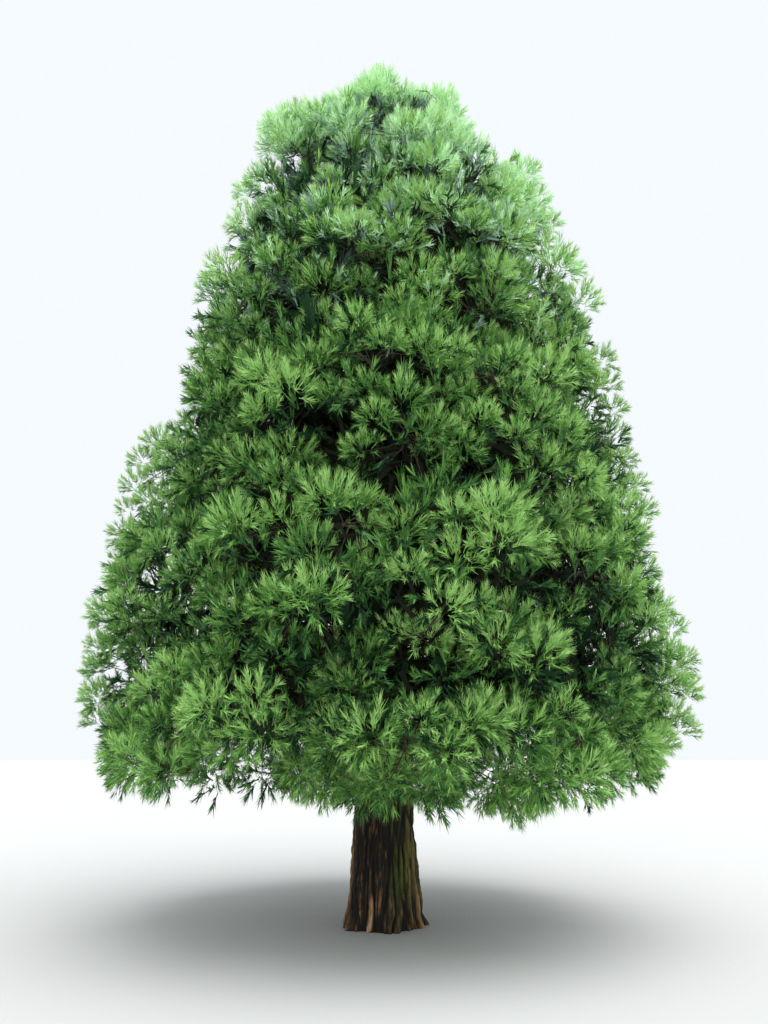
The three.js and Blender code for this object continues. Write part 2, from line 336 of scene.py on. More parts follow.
# Up-swept plumes along the crown's outline: across, down, and metres in front of the trunk.
TOP_PLUMES = (
    (334, 108, 0.15), (349, 102, 0.20), (364, 100, 0.10), (381, 99, 0.15), (398, 101, 0.10),
    (415, 101, 0.20), (432, 104, 0.15), (446, 99, 0.10), (340, 122, 0.30), (358, 118, 0.35),
    (377, 118, 0.30), (396, 117, 0.35), (414, 118, 0.30), (432, 120, 0.35), (449, 114, 0.20),
    (456, 132, 0.25), (368, 138, 0.40), (404, 136, 0.45))
HIGH_BOUGH_PLUMES = (
    (276, 124, 1.00), (298, 116, 0.95), (322, 122, 0.80), (286, 144, 1.05), (314, 140, 0.90),
    (342, 134, 0.70))
RIGHT_SHOULDER_PLUMES = (
    (524, 172, 0.10), (538, 196, 0.20), (548, 220, 0.10), (520, 196, 0.40), (532, 220, 0.40),
    (506, 178, 0.30), (508, 206, 0.60), (522, 240, 0.50), (516, 186, -0.35), (532, 212, -0.35),
    (542, 240, -0.30))
LEFT_EDGE_PLUMES = (
    (156, 438, 0.20), (142, 456, 0.10), (134, 480, 0.20), (128, 504, 0.10), (122, 530, 0.20),
    (158, 468, 0.40), (148, 494, 0.40), (164, 500, 0.60), (146, 550, 0.60), (134, 584, 0.60),
    (106, 614, 0.10), (98, 640, 0.10), (95, 664, 0.20), (94, 690, 0.10), (98, 714, 0.20))
RIGHT_EDGE_PLUMES = (
    (602, 356, 0.20), (608, 380, 0.10), (613, 404, 0.20), (616, 430, 0.20), (626, 454, 0.10),
    (634, 480, 0.20), (640, 506, 0.10), (614, 458, 0.40), (622, 486, 0.40), (596, 380, 0.40),
    (656, 604, 0.80), (672, 622, 0.80), (664, 646, 1.00), (682, 654, 0.80), (672, 678, 1.00),
    (688, 686, 0.80), (674, 708, 1.00), (684, 722, 0.80), (662, 732, 1.10))
PLUMES = TOP_PLUMES + HIGH_BOUGH_PLUMES + RIGHT_SHOULDER_PLUMES + LEFT_EDGE_PLUMES + RIGHT_EDGE_PLUMES
PLUME_RADIUS = 0.17
PLUME_SIZES = (0.9, 1.15)
PLUME_LEAN = 0.45
PLUME_LEAN_SPREAD = 0.1
PLUME_TONES = (0.02, 0.10)
# Plumes lower than this are darker by this tone: painted shade.
LOW_PLUMES_BELOW = 5.5
LOW_PLUME_PAINTED_SHADE = 0.14

# Old tufts behind the plumes that stand lower than this: how far behind, how much lighter than other old
# tufts, as painted light at the crown's edge, and their radius.
BACKED_BELOW = 8.3
PLUME_BACKINGS = (0.26, 0.50)
BACKING_PAINTED_LIGHT = 0.12
BACKING_RADIUS = 0.20

# Tufts that hang beside the trunk, given the same way, and how much deeper each further layer of them lies.
HANGING = (
    (302, 770, 1.9), (318, 778, 1.8), (334, 784, 1.7), (350, 776, 1.5), (326, 760, 1.6), (344, 762, 1.3),
    (420, 782, 1.5), (436, 776, 1.7), (452, 780, 1.8), (486, 786, 1.7), (502, 790, 1.8), (518, 796, 1.7),
    (534, 786, 1.8), (378, 746, 1.6), (398, 742, 1.6), (394, 768, 1.5), (376, 778, 1.6), (412, 756, 1.5))
HANGING_LAYERS = (0.0, 0.35, 0.70)
HANGING_SPREAD = 0.03
HANGING_DROOP = 0.5
# Their tones are darker: painted shade under the crown.
HANGING_TONES = (-0.12, -0.04)

# Wood inside the masses. A limb goes on from its bough towards the mean of the mass's lobes, drawn to the
# mass's middle by a share. Branches leave it before they are level with their lobe, and their width at the
# limb's foot and tip is a share of the bough's.
LIMB_RINGS = 9
LIMB_SIDES = 10
LIMB_TAPER = 0.4
MIDDLE_SHARE = 0.25
BRANCH_RINGS = 7
BRANCH_SIDES = 6
BRANCH_SET_BACK = 0.35
BRANCH_FEET = (0.04, 0.96)
BRANCH_WIDTHS = (0.55, 0.36)
BRANCH_TAPER = (1.0, 0.5)
BRANCH_SAG = 0.04
TWIG_RINGS = 4
TWIG_SIDES = 4
TWIG_TAPER = (0.9, 0.4)

# Branches straight from the upper trunk: how far they rise for each metre out, their lowest and highest
# foot, and their radius, which is also limited to a share of the trunk's.
STEM_BRANCH_RISE = 0.8
STEM_BRANCH_FEET = (5.2, 9.0)
STEM_BRANCH_RADIUS = 0.020
STEM_BRANCH_SHARE = 0.45

# Limit on one mesh, under the 200,000 triangles past which the export thins it.
MOST_TRIANGLES = 190_000

# Foliage greens, from the shaded inside to the fresh tips: one green in steps of painted light and shade,
# with the real paler green of fresh growth at the top end. The dark ones are matte.
FOLIAGE_SHADES = (
    ("inner", (0.012, 0.014, 0.008)),
    ("shade", (0.017, 0.052, 0.021)),
    ("deep", (0.031, 0.103, 0.028)),
    ("mid", (0.061, 0.183, 0.038)),
    ("light", (0.118, 0.292, 0.057)),
    ("fresh", (0.208, 0.432, 0.092)),
    ("tip", (0.350, 0.610, 0.178)),
)
FOLIAGE_ROUGHNESS = 0.6
FOLIAGE_SPECULAR = 0.3
MATTE_SPECULAR = 0.05
MATTE_BELOW_GREEN = 0.06

# High in the crown the greens are painted paler and bluer, standing in for sky light glowing through the
# thin
# top: each shade is raised by this share, and all but the dark ones by this colour. They are dealt out by
# spray, to more and more sprays between two heights.
HIGH_SHARE = 1.10
HIGH_PAINTED_SKY_GLOW = np.array([0.215, 0.235, 0.290])
HIGH_WHOLE_GREEN = 0.20
HIGH_FROM, HIGH_TO = 4.6, 8.9

# Tones run from 0, dark, to 1, bright, with some spread, and stand for painted light and shade as well as
# the green's own lightness. Cords darker than INNER_BELOW have the inner shade.
# A cord gains its layer's tip tone towards the spray's tip: the real paler green of new growth, together
# with painted shade at the spray's foot deep in the tuft.
TONE_SPREAD = 0.085
INNER_BELOW = -0.5
SPRAY_TONE = 0.195
# Sprays on a tuft's upper side are lighter and those on its underside darker: painted light and shade.
UPPER_SIDE_PAINTED_LIGHT = 0.26
FRESH_TIP_TONE = 0.74
OLD_TIP_TONE = 0.55
CORE_TIP_TONE = 0.25
TIP_TONE_POWER = 1.3

# What is added to a tuft's tone: by chance for its lobe and for itself, and then painted light and shade:
# more by its height and on a lobe's top, less in a valley, on an underside, and on the crown's left, in full
# at LEFT_SIDE_REACH from the trunk.
LOBE_TONES = (-0.04, 0.10)
TUFT_TONES = (-0.04, 0.04)
TUFT_PAINTED_LIGHT_BY_HEIGHT = ((6.0, 8.5), (0.0, 0.10))
LOBE_TOP_PAINTED_LIGHT = 0.10
VALLEY_PAINTED_SHADE = -0.17
UNDERSIDE_PAINTED_SHADE = -0.17
LEFT_SIDE_PAINTED_SHADE = -0.16
LEFT_SIDE_REACH = 2.2

# Tones of old and core tufts, dark partly for their age and partly as painted shade, and how much lighter
# they are towards the top, where the crown is thin, as painted light.
OLD_TONES = (-0.46, -0.34)
CORE_TONES = (-0.80, -0.40)
INNER_PAINTED_LIGHT_BY_HEIGHT = ((6.4, 8.5), (0.0, 0.45))

# Bark lightness from 0 to 1 and its colour there. The near-black low end is painted shade in the furrows and
# in the dips of the boughs.
BARK_STOPS = (
    (0.00, (0.003, 0.002, 0.002)),
    (0.28, (0.016, 0.012, 0.006)),
    (0.48, (0.085, 0.056, 0.026)),
    (0.70, (0.270, 0.190, 0.100)),
    (1.00, (0.520, 0.430, 0.300)),
)
RUST_TINT = (1.25, 0.82, 0.62)
MOSS_COLOUR = (0.075, 0.110, 0.010)
BARK_ROUGHNESS = 0.9
TWIG_STOPS = (
    (0.35, (0.020, 0.013, 0.008)),
    (0.65, (0.060, 0.040, 0.024)),
)
TWIG_ROUGHNESS = 0.85

# Noise in the bark's colour: its scale and detail. Streaks are drawn out along the trunk by a stretch.
STREAK_STRETCH = (55.0, 55.0, 5.0)
STREAK_NOISE = (1.0, 8.0)
STREAK_SHARE = 0.9
RUST_NOISE = (5.0, 3.0)
MOSS_NOISE = (14.0, 6.0)
TWIG_NOISE = (30.0, 4.0)
BUMP_STRENGTH = 0.6
BUMP_DISTANCE = 0.006

# Floor and soft studio light: strength, width in degrees and rotation in degrees of each lamp.
FLOOR_RADIUS = 70
FLOOR_SIDES = 96
FLOOR_COLOUR = (0.55, 0.55, 0.54)
FLOOR_ROUGHNESS = 0.9
FLOOR_SPECULAR = 0.1
LAMPS = (
    ("top_light", 2.7, 60, (16, 9, 0)),
    ("front_light", 0.6, 70, (62, 0, 4)),
)
SKY_COLOUR = (0.92, 0.96, 1.0)
SKY_STRENGTH = 1.0


# Small helpers

def unit(vectors):
    return vectors / np.linalg.norm(vectors, axis=-1, keepdims=True)


def smoothstep(values):
    values = np.clip(values, 0.0, 1.0)
    return values * values * (3.0 - 2.0 * values)


def distances(places, others):
    """Distance from every place to every other place, as a table."""
    return np.linalg.norm(places[:, None] - others[None], axis=2)


def around_trunk(reach, turn, height):
    """Places at reaches and turns round the trunk's line, and at heights."""
    return np.stack([reach * np.cos(turn), reach * np.sin(turn), height], axis=-1)


def outward(places):
    """Level directions from the trunk's line to places."""
    return unit(places * np.array([1.0, 1.0, 0.0]))


def blended(shares, directions):
    """One direction made of several, each with its share."""
    return unit(sum(share * direction for share, direction in zip(shares, directions)))


def by_height(places, table):
    """Values at the heights of places, from a table of heights and values."""
    return np.interp(places[:, 2], *table)


def value_noise(across, along, cells_across, seed):
    """Smooth noise between -1 and 1 on a lattice that closes on itself after cells_across cells."""
    table = np.random.default_rng(seed).uniform(-1.0, 1.0, (cells_across, NOISE_CELLS_ALONG))
    column, row = np.floor(across).astype(int), np.floor(along).astype(int)
    x, y = smoothstep(across - column), smoothstep(along - row)

    def blend_across(line):
        line = line % NOISE_CELLS_ALONG
        return table[column % cells_across, line] * (1 - x) + table[(column + 1) % cells_across, line] * x

    return blend_across(row) * (1 - y) + blend_across(row + 1) * y


def frames_along(directions, rng):
    """One rotation matrix per direction: its first axis is the direction, and its roll is random."""
    directions = unit(directions)
    side = unit(np.cross(directions, unit(rng.normal(size=directions.shape))))
    return np.stack([directions, side, np.cross(directions, side)], axis=-1)


def cone_directions(axes, angles, turns):
    """Directions that lean from each axis by an angle, at a turn round it. Angles are radians."""
    axes = unit(axes)
    helper = np.where(np.abs(axes[:, 2:3]) > 0.9, np.array([[1.0, 0, 0]]), np.array([[0, 0, 1.0]]))
    side = unit(np.cross(helper, axes))
    other = np.cross(axes, side)
    lean = np.cos(turns)[:, None] * side + np.sin(turns)[:, None] * other
    return np.cos(angles)[:, None] * axes + np.sin(angles)[:, None] * lean


# Meshes from arrays

def add_object(name, data):
    obj = bpy.data.objects.new(name, data)
    bpy.context.scene.collection.objects.link(obj)
    return obj


def build_mesh(name, points, faces, materials, slots=None, smooth=False):
    """A mesh object from arrays, whose faces all have the same number of corners."""
    count, corners = faces.shape
    mesh = bpy.data.meshes.new(name)
    mesh.vertices.add(len(points))
    mesh.vertices.foreach_set("co", np.ascontiguousarray(points, np.float32).ravel())
    mesh.loops.add(corners * count)
    mesh.loops.foreach_set("vertex_index", np.ascontiguousarray(faces, np.int32).ravel())
    mesh.polygons.add(count)
    mesh.polygons.foreach_set("loop_start", np.arange(0, corners * count, corners, dtype=np.int32))
    mesh.polygons.foreach_set("loop_total", np.full(count, corners, np.int32))
    for material in materials:
        mesh.materials.append(material)
    if slots is not None:
        mesh.polygons.foreach_set("material_index", np.ascontiguousarray(slots, np.int32))
    mesh.polygons.foreach_set("use_smooth", np.full(count, smooth, bool))
    mesh.update(calc_edges=True)
    return add_object(name, mesh)


def grid_quads(rings, sides):
    """Quads of a tube with its rings one after another."""
    ring, side = np.meshgrid(np.arange(rings - 1), np.arange(sides), indexing="ij")
    low = ring * sides + side
    low_next = ring * sides + (side + 1) % sides
    return np.stack([low, low_next, low_next + sides, low + sides], axis=-1).reshape(-1, 4)


def tubes(paths, radii, sides):
    """Points and quads of many tubes of one length. Paths are (tubes, rings, 3) and radii (tubes, rings)."""
    count, rings, _ = paths.shape
    along = unit(np.gradient(paths, axis=1) + 1e-9)
    helper = np.where(np.abs(along[:, :1, 2:3]) > 0.8, np.array([1.0, 0.0, 0.0]), UP)
    side = unit(np.cross(along, np.broadcast_to(helper, along.shape)))
    other = np.cross(along, side)
    angle = np.arange(sides) * (2 * math.pi / sides)
    around = np.cos(angle)[:, None] * side[:, :, None, :] + np.sin(angle)[:, None] * other[:, :, None, :]
    points = paths[:, :, None, :] + radii[:, :, None, None] * around
    quads = grid_quads(rings, sides)[None] + (np.arange(count) * rings * sides)[:, None, None]
    return points.reshape(-1, 3), quads.reshape(-1, 4)


def joined(parts):
    """Joins (points, quads) pairs into one pair."""
    points, quads = zip(*parts)
    starts = np.cumsum([0] + [len(block) for block in points[:-1]])
    return np.concatenate(points), np.concatenate([block + start for block, start in zip(quads, starts)])


def close_ends(obj, sides):
    """Closes the first and the last ring of a tube with one flat face each."""
    edit = bmesh.new()
    edit.from_mesh(obj.data)
    edit.verts.ensure_lookup_table()
    count = len(edit.verts)
    edit.faces.new([edit.verts[index] for index in range(sides - 1, -1, -1)])
    edit.faces.new([edit.verts[index] for index in range(count - sides, count)])
    edit.to_mesh(obj.data)
    edit.free()
    obj.data.update()


def store_attribute(obj, name, values):
    attribute = obj.data.attributes.new(name, "FLOAT", "POINT")
    attribute.data.foreach_set("value", np.ascontiguousarray(values, np.float32).ravel())


def finish_piece(obj, nodes):
    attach(obj, "root")
    if nodes:
        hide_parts(*nodes)


# Materials

def new_material(name, roughness):
    material = bpy.data.materials.new(name)
    material.use_nodes = True
    shader = material.node_tree.nodes["Principled BSDF"]
    shader.inputs["Roughness"].default_value = roughness
    return material, material.node_tree, shader


def add_node(tree, kind, inputs, **settings):
    """A shader node with its settings, and with a value or a link at each of the given inputs."""
    node = tree.nodes.new(f"ShaderNode{kind}")
    for name, value in settings.items():
        setattr(node, name, value)
    for name, value in inputs.items():
        if isinstance(value, bpy.types.NodeSocket):
            tree.links.new(value, node.inputs[name])
        else:
            node.inputs[name].default_value = value
    return node


def add_noise(tree, vector, scale, detail):
    return add_node(tree, "TexNoise", {"Vector": vector, "Scale": scale, "Detail": detail}).outputs["Fac"]


def add_ramp(tree, place, stops):
    """Colours by place on a ramp from 0 to 1."""
    ramp = add_node(tree, "ValToRGB", {"Fac": place})
    elements = ramp.color_ramp.elements
    elements.remove(elements[1])
    elements[0].position, colour = stops[0]
    elements[0].color = (*colour, 1.0)
    for position, colour in stops[1:]:
        elements.new(position).color = (*colour, 1.0)
    return ramp.outputs["Color"]


def plain_material(name, colour, roughness, specular):
    material, _, shader = new_material(name, roughness)
    shader.inputs["Base Color"].default_value = (*colour, 1.0)
    shader.inputs["Specular IOR Level"].default_value = specular
    return material


def foliage_material(name, colour):
    specular = MATTE_SPECULAR if colour[1] < MATTE_BELOW_GREEN else FOLIAGE_SPECULAR
    return plain_material(name, colour, FOLIAGE_ROUGHNESS, specular)


def sky_glow_colour(colour):
    """What a shade of green becomes high in the crown, with painted sky glow."""
    return HIGH_SHARE * np.array(colour) + HIGH_PAINTED_SKY_GLOW * smoothstep(colour[1] / HIGH_WHOLE_GREEN)


def foliage_materials():
    """The shades of the low crown, followed by their copies with painted sky glow for the high crown."""
    low = [foliage_material(f"foliage_{name}", colour) for name, colour in FOLIAGE_SHADES]
    high = [foliage_material(f"foliage_sky_lit_{name}", sky_glow_colour(colour)) for name, colour in FOLIAGE_SHADES]
    return low + high


def twig_material():
    """Thin brown bark, mottled by noise."""
    material, tree, shader = new_material("twig_bark", TWIG_ROUGHNESS)
    place = add_node(tree, "TexCoord", {}).outputs["Object"]
    colour = add_ramp(tree, add_noise(tree, place, *TWIG_NOISE), TWIG_STOPS)
    tree.links.new(colour, shader.inputs["Base Color"])
    return material


def bark_material(name, with_moss):
    """Fibrous bark: dark furrows with painted shade and paler ridges by the mesh's stored relief, with
    streaks and rust.
    """
    material, tree, shader = new_material(name, BARK_ROUGHNESS)
    place = add_node(tree, "TexCoord", {}).outputs["Object"]
    stretched = add_node(tree, "Mapping", {"Vector": place, "Scale": STREAK_STRETCH}).outputs["Vector"]
    streaks = add_noise(tree, stretched, *STREAK_NOISE)
    colour = add_ramp(tree, bark_lightness(tree, streaks), BARK_STOPS)
    colour = add_rust(tree, place, colour)
    if with_moss:
        colour = add_moss(tree, place, colour)
    tree.links.new(colour, shader.inputs["Base Color"])
    bump = add_node(tree, "Bump", {"Strength": BUMP_STRENGTH, "Distance": BUMP_DISTANCE, "Height": streaks})
    tree.links.new(bump.outputs["Normal"], shader.inputs["Normal"])
    return material


def bark_lightness(tree, streaks):
    """The stored relief, shifted up and down by the streaks."""
    inputs = {0: streaks, 1: STREAK_SHARE, 2: -STREAK_SHARE / 2}
    shift = add_node(tree, "Math", inputs, operation="MULTIPLY_ADD").outputs[0]
    relief = add_node(tree, "Attribute", {}, attribute_name="relief").outputs["Fac"]
    return add_node(tree, "Math", {0: shift, 1: relief}, operation="ADD").outputs[0]


def add_rust(tree, place, colour):
    """Redder patches."""
    inputs = {"Factor": add_noise(tree, place, *RUST_NOISE), "A": colour, "B": (*RUST_TINT, 1.0)}
    return add_node(tree, "Mix", inputs, data_type="RGBA", blend_type="MULTIPLY").outputs["Result"]


def add_moss(tree, place, colour):
    """Green algae on the side of the trunk that the mesh marks."""
    mark = add_node(tree, "Attribute", {}, attribute_name="moss").outputs["Fac"]
    patches = add_noise(tree, place, *MOSS_NOISE)
    amount = add_node(tree, "Math", {0: mark, 1: patches}, operation="MULTIPLY").outputs[0]
    inputs = {"Factor": amount, "A": colour, "B": (*MOSS_COLOUR, 1.0)}
    return add_node(tree, "Mix", inputs, data_type="RGBA").outputs["Result"]


# What the frame says

def node_points(name):
    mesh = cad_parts[name].data
    points = np.empty(3 * len(mesh.vertices))
    mesh.vertices.foreach_get("co", points)
    return points.reshape(-1, 3)


def node_triangles(name):
    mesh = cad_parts[name].data
    mesh.calc_loop_triangles()
    triangles = np.empty(3 * len(mesh.loop_triangles), np.int32)
    mesh.loop_triangles.foreach_get("vertices", triangles)
    return triangles.reshape(-1, 3)


def trunk_sections():
    """Heights, middles and radii of the trunk's rings. Radii are taken at even angles round each ring."""
    points = node_points("trunk")
    heights, middles, radii = [], [], []
    grid = np.linspace(0, 2 * math.pi, SECTION_ANGLES, endpoint=False)
    for height in np.unique(np.round(points[:, 2], 3)):
        level = np.unique(np.round(points[np.abs(points[:, 2] - height) < 1e-3, :2], 4), axis=0)
        heights.append(height)
        if len(level) < 3:
            middles.append(level.mean(0))
            radii.append(np.full(SECTION_ANGLES, TRUNK_TIP_RADIUS))
            continue
        reach = np.linalg.norm(level - level.mean(0), axis=1)
        ring = level[reach > 0.3 * reach.max()]
        middles.append(ring.mean(0))
        offset = ring - middles[-1]
        angle = np.mod(np.arctan2(offset[:, 1], offset[:, 0]), 2 * math.pi)
        order = np.argsort(angle)
        radius = np.linalg.norm(offset, axis=1)
        radii.append(np.interp(grid, angle[order], radius[order], period=2 * math.pi))
    return np.array(heights), np.array(middles), np.array(radii)


def trunk_middle(heights):
    known, middles, _ = SECTIONS
    return np.stack([np.interp(heights, known, middles[:, 0]), np.interp(heights, known, middles[:, 1])], -1)


def trunk_points(heights):
    """Places on the trunk's middle line."""
    return np.concatenate([trunk_middle(heights), heights[:, None]], axis=1)


def trunk_radius(heights):
    known, _, radii = SECTIONS
    return np.interp(heights, known, radii.mean(1))


def limb_line(name):
    """Middles and radii of a bough's rings, from the trunk outwards."""
    points = node_points(name)
    out = points[:, :2].mean(0)
    out = out / np.linalg.norm(out)
    points = np.unique(np.round(points, 4), axis=0)
    station = points[:, :2] @ out
    order = np.argsort(station)
    breaks = np.flatnonzero(np.diff(station[order]) > RING_GAP) + 1
    middles, radii = [], []
    for group in np.split(order, breaks):
        ring = points[group]
        if len(ring) < 5:
            continue
        middle = (ring.min(0) + ring.max(0)) / 2
        reach = np.linalg.norm(ring - middle, axis=1)
        middles.append(middle)
        radii.append(np.median(reach[reach > 0.5 * reach.max()]))
    return np.array(middles), np.array(radii)


def read_masses():
    """The part's masses from the ground up: their faces, their middle, and the bough that carries each."""
    masses = []
    for tier in TIERS:
        for name in sorted(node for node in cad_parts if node.startswith(f"{tier}_mass_")):
            points, triangles = node_points(name), node_triangles(name)
            corners = points[triangles]
            normal = np.cross(corners[:, 1] - corners[:, 0], corners[:, 2] - corners[:, 0])
            area = np.linalg.norm(normal, axis=1) / 2
            bough = name.replace("_mass_", "_bough_")
            masses.append({
                "name": name, "tier": tier, "bough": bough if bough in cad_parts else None,
                "corners": corners, "area": area, "normal": normal / (2 * area[:, None] + 1e-12),
                "middle": points.mean(0),
            })
    return masses


# Bark

def plates(across, along, cells_across, seed):
    """Share of the way from a furrow, 0, to the middle of a bark plate, 1, for long cells of uneven size."""
    rng = np.random.default_rng(seed)
    jitter = rng.uniform(0.1, 0.9, (cells_across, NOISE_CELLS_ALONG, 2))
    column, row = np.floor(across).astype(int), np.floor(along).astype(int)
    nearest = np.full(across.shape, 9.0)
    second = np.full(across.shape, 9.0)
    for step_across in (-1, 0, 1):
        for step_along in (-1, 0, 1):
            cell = jitter[(column + step_across) % cells_across, (row + step_along) % NOISE_CELLS_ALONG]
            gap_across = column + step_across + cell[..., 0] - across
            gap = np.hypot(gap_across, row + step_along + cell[..., 1] - along)
            second = np.minimum(second, np.maximum(nearest, gap))
            nearest = np.minimum(nearest, gap)
    return smoothstep((second - nearest) / FURROW_WIDTH)


def trunk_grid():
    """Heights and turns of the trunk mesh's points, and the part's radius at each."""
    known, _, radii = SECTIONS
    fine = np.arange(0.0, TRUNK_FINE_TOP, TRUNK_FINE_STEP)
    coarse = np.arange(TRUNK_FINE_TOP, known[-1] - 0.02, TRUNK_COARSE_STEP)
    heights = np.concatenate([fine, coarse, known[-1:]])
    angles = np.linspace(0, 2 * math.pi, TRUNK_SIDES, endpoint=False)
    grid = np.linspace(0, 2 * math.pi, SECTION_ANGLES + 1)
    closed = np.concatenate([radii, radii[:, :1]], axis=1)
    by_angle = np.stack([np.interp(angles, grid, ring) for ring in closed])
    radius = np.stack([np.interp(heights, known, column) for column in by_angle.T], axis=1)
    high, turn = np.meshgrid(heights, angles, indexing="ij")
    return high, turn, radius


def bark_pattern(high, turn):
    """Ridges between the furrows, splits and flakes on the ridges, fibres and worn patches."""
    lap = turn / (2 * math.pi)
    plates_round = int(round(2 * math.pi * PLATES_AT_RADIUS / PLATE_WIDTH))
    across, along = lap * plates_round, high / (PLATE_WIDTH * PLATE_STRETCH)
    warp = sum(strength * value_noise(across / wide, along * rows, plates_round // wide, seed)
               for strength, wide, rows, seed in BARK_WARP)

    def noise(strength, cells_round, cells_per_metre, seed):
        return strength * value_noise(lap * cells_round, high * cells_per_metre, cells_round, seed)

    bark = SimpleNamespace(fibre=sum(noise(*fibres) for fibres in FIBRES), worn=noise(*WORN_PATCHES))
    for name, (finer, shorter, push_round, push_along, seed) in BARK_CELLS.items():
        place_round, place_along = across * finer + push_round * warp, along * shorter + push_along * warp
        setattr(bark, name, plates(place_round, place_along, plates_round * finer, seed))
    return bark


def bark_depth(bark, high, radius):
    """How far the bark lies inside the part's surface: deep furrows low down, shallow ones on thin wood."""
    share = TOP_DEPTH_SHARE + (1 - TOP_DEPTH_SHARE) * np.exp(-high / FURROWS_FADE_OVER)
    share = share * np.clip(radius / THIN_WOOD_RADIUS, THIN_WOOD_SHARE, 1.0)
    depth = 1 - bark.ridge + SPLIT_SHARE * (1 - bark.split) * bark.ridge
    depth = depth + FLAKE_SHARE * (1 - bark.flake) - LEVEL_SHARE
    toes = TOE_RELIEF * (bark.ridge - 0.5) * np.exp(-high / TOE_HEIGHT)
    return share * (FURROW_DEPTH * depth - FIBRE_DEPTH * bark.fibre) - toes


def bark_tone_and_furrow_shade(bark, high):
    """Lightness of the bark: dark furrows and splits as painted shade, paler ridges with worn patches, and
    pale toes.
    """
    pale = WORN_LIGHT * bark.worn + TOE_LIGHT * np.exp(-high / TOE_LIGHT_HEIGHT)
    ridges = RIDGE_LIGHT * (0.5 + 0.5 * bark.split) * (0.75 + 0.25 * bark.flake) + pale
    return np.clip(FURROW_LIGHT + bark.ridge * ridges + FIBRE_LIGHT * bark.fibre, 0, 1)


def moss_cover(bark, high, turn):
    """How mossy the bark is: on the ridges of one side, thinner near the ground and high up."""
    side = MOSS_STRENGTH * smoothstep((np.cos(turn - MOSS_BEARING) - MOSS_SIDE[0]) / MOSS_SIDE[1])
    foot = MOSS_FOOT_SHARE + (1 - MOSS_FOOT_SHARE) * smoothstep((high - MOSS_FOOT[0]) / MOSS_FOOT[1])
    by_rise = np.clip(MOSS_FADE[0] - MOSS_FADE[1] * high, 0, 1) * foot
    return side * by_rise * smoothstep(bark.ridge) * np.clip(0.55 + 0.8 * bark.fibre, 0, 1)


def make_trunk(material):
    high, turn, radius = trunk_grid()
    bark = bark_pattern(high, turn)
    surface = np.maximum(radius - bark_depth(bark, high, radius), 0.001)
    points = around_trunk(surface, turn, high)
    points[..., :2] += trunk_middle(high[:, 0])[:, None]
    rings, sides = high.shape
    obj = build_mesh("trunk_bark", points.reshape(-1, 3), grid_quads(rings, sides), [material], smooth=True)
    close_ends(obj, sides)
    # Lightness with painted shade in the furrows, read by the bark's material.
    store_attribute(obj, "relief", bark_tone_and_furrow_shade(bark, high))
    store_attribute(obj, "moss", moss_cover(bark, high, turn))
    finish_piece(obj, ["trunk"])


def make_boughs(tier, material):
    """One piece with the boughs of a tier, each a tapering tube with lumps."""
    names = sorted(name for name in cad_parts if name.startswith(f"{tier}_bough_"))
    parts, relief = [], []
    for number, name in enumerate(names):
        middles, radii = limb_line(name)
        place = np.linspace(0, 1, len(middles))
        fine = np.linspace(0, 1, BOUGH_RINGS)
        path = np.stack([np.interp(fine, place, middles[:, axis]) for axis in range(3)], -1)
        path[1:-1] = (path[:-2] + 2 * path[1:-1] + path[2:]) / 4
        points, quads = tubes(path[None], np.interp(fine, place, radii)[None], BOUGH_SIDES)
        turn = np.tile(np.arange(BOUGH_SIDES) / BOUGH_SIDES * BOUGH_LUMPS, BOUGH_RINGS)
        rows = np.repeat(fine * BOUGH_LUMPS, BOUGH_SIDES)
        lump = value_noise(turn, rows, BOUGH_LUMPS, BOUGH_SEED + number)
        centre = np.repeat(path, BOUGH_SIDES, axis=0)
        parts.append((centre + (points - centre) * (1 - BOUGH_RELIEF * (0.5 - 0.5 * lump[:, None])), quads))
        # Painted shade: the bark is darker where the lumps dip in.
        relief.append(BOUGH_LIGHT[0] + BOUGH_LIGHT[1] * lump)
    points, quads = joined(parts)
    obj = build_mesh(f"boughs_{tier}", points, quads, [material], smooth=True)
    store_attribute(obj, "relief", np.concatenate(relief))
    finish_piece(obj, names)


# The photograph's view

def camera_axes():
    """The camera's place, and its directions ahead and up."""
    pitch = math.radians(CAMERA_PITCH)
    ahead = np.array([0.0, math.cos(pitch), math.sin(pitch)])
    above = np.array([0.0, -math.sin(pitch), math.cos(pitch)])
    return np.array([0.0, -CAMERA_DISTANCE, CAMERA_HEIGHT]), ahead, above


def pixels_of(places):
    """Where the photograph's camera sees places, in pixels across and down."""
    eye, ahead, above = camera_axes()
    offset = places - eye
    depth = offset @ ahead
    across = IMAGE_MIDDLE_PX[0] + FOCAL_PX * offset[:, 0] / depth
    return across, IMAGE_MIDDLE_PX[1] - FOCAL_PX * (offset @ above) / depth


def place_in_view(across, down, in_front):
    """The place seen at a pixel of the photograph, at a distance in front of the trunk."""
    eye, ahead, above = camera_axes()
    ray = ahead + (IMAGE_MIDDLE_PX[1] - down) / FOCAL_PX * above
    ray = ray + np.array([(across - IMAGE_MIDDLE_PX[0]) / FOCAL_PX, 0.0, 0.0])
    return eye + ray * (CAMERA_DISTANCE - in_front) / ray[1]


def in_gaps(places, gaps, widened=1.0):
    """Which places lie, as the photograph's camera sees them, inside one of the gaps."""
    across, down = pixels_of(places)
    inside = np.zeros(len(places), bool)
    for gap_across, gap_down, half_width, half_height in gaps:
        inside |= np.hypot((across - gap_across) / half_width, (down - gap_down) / half_height) < widened
    return inside


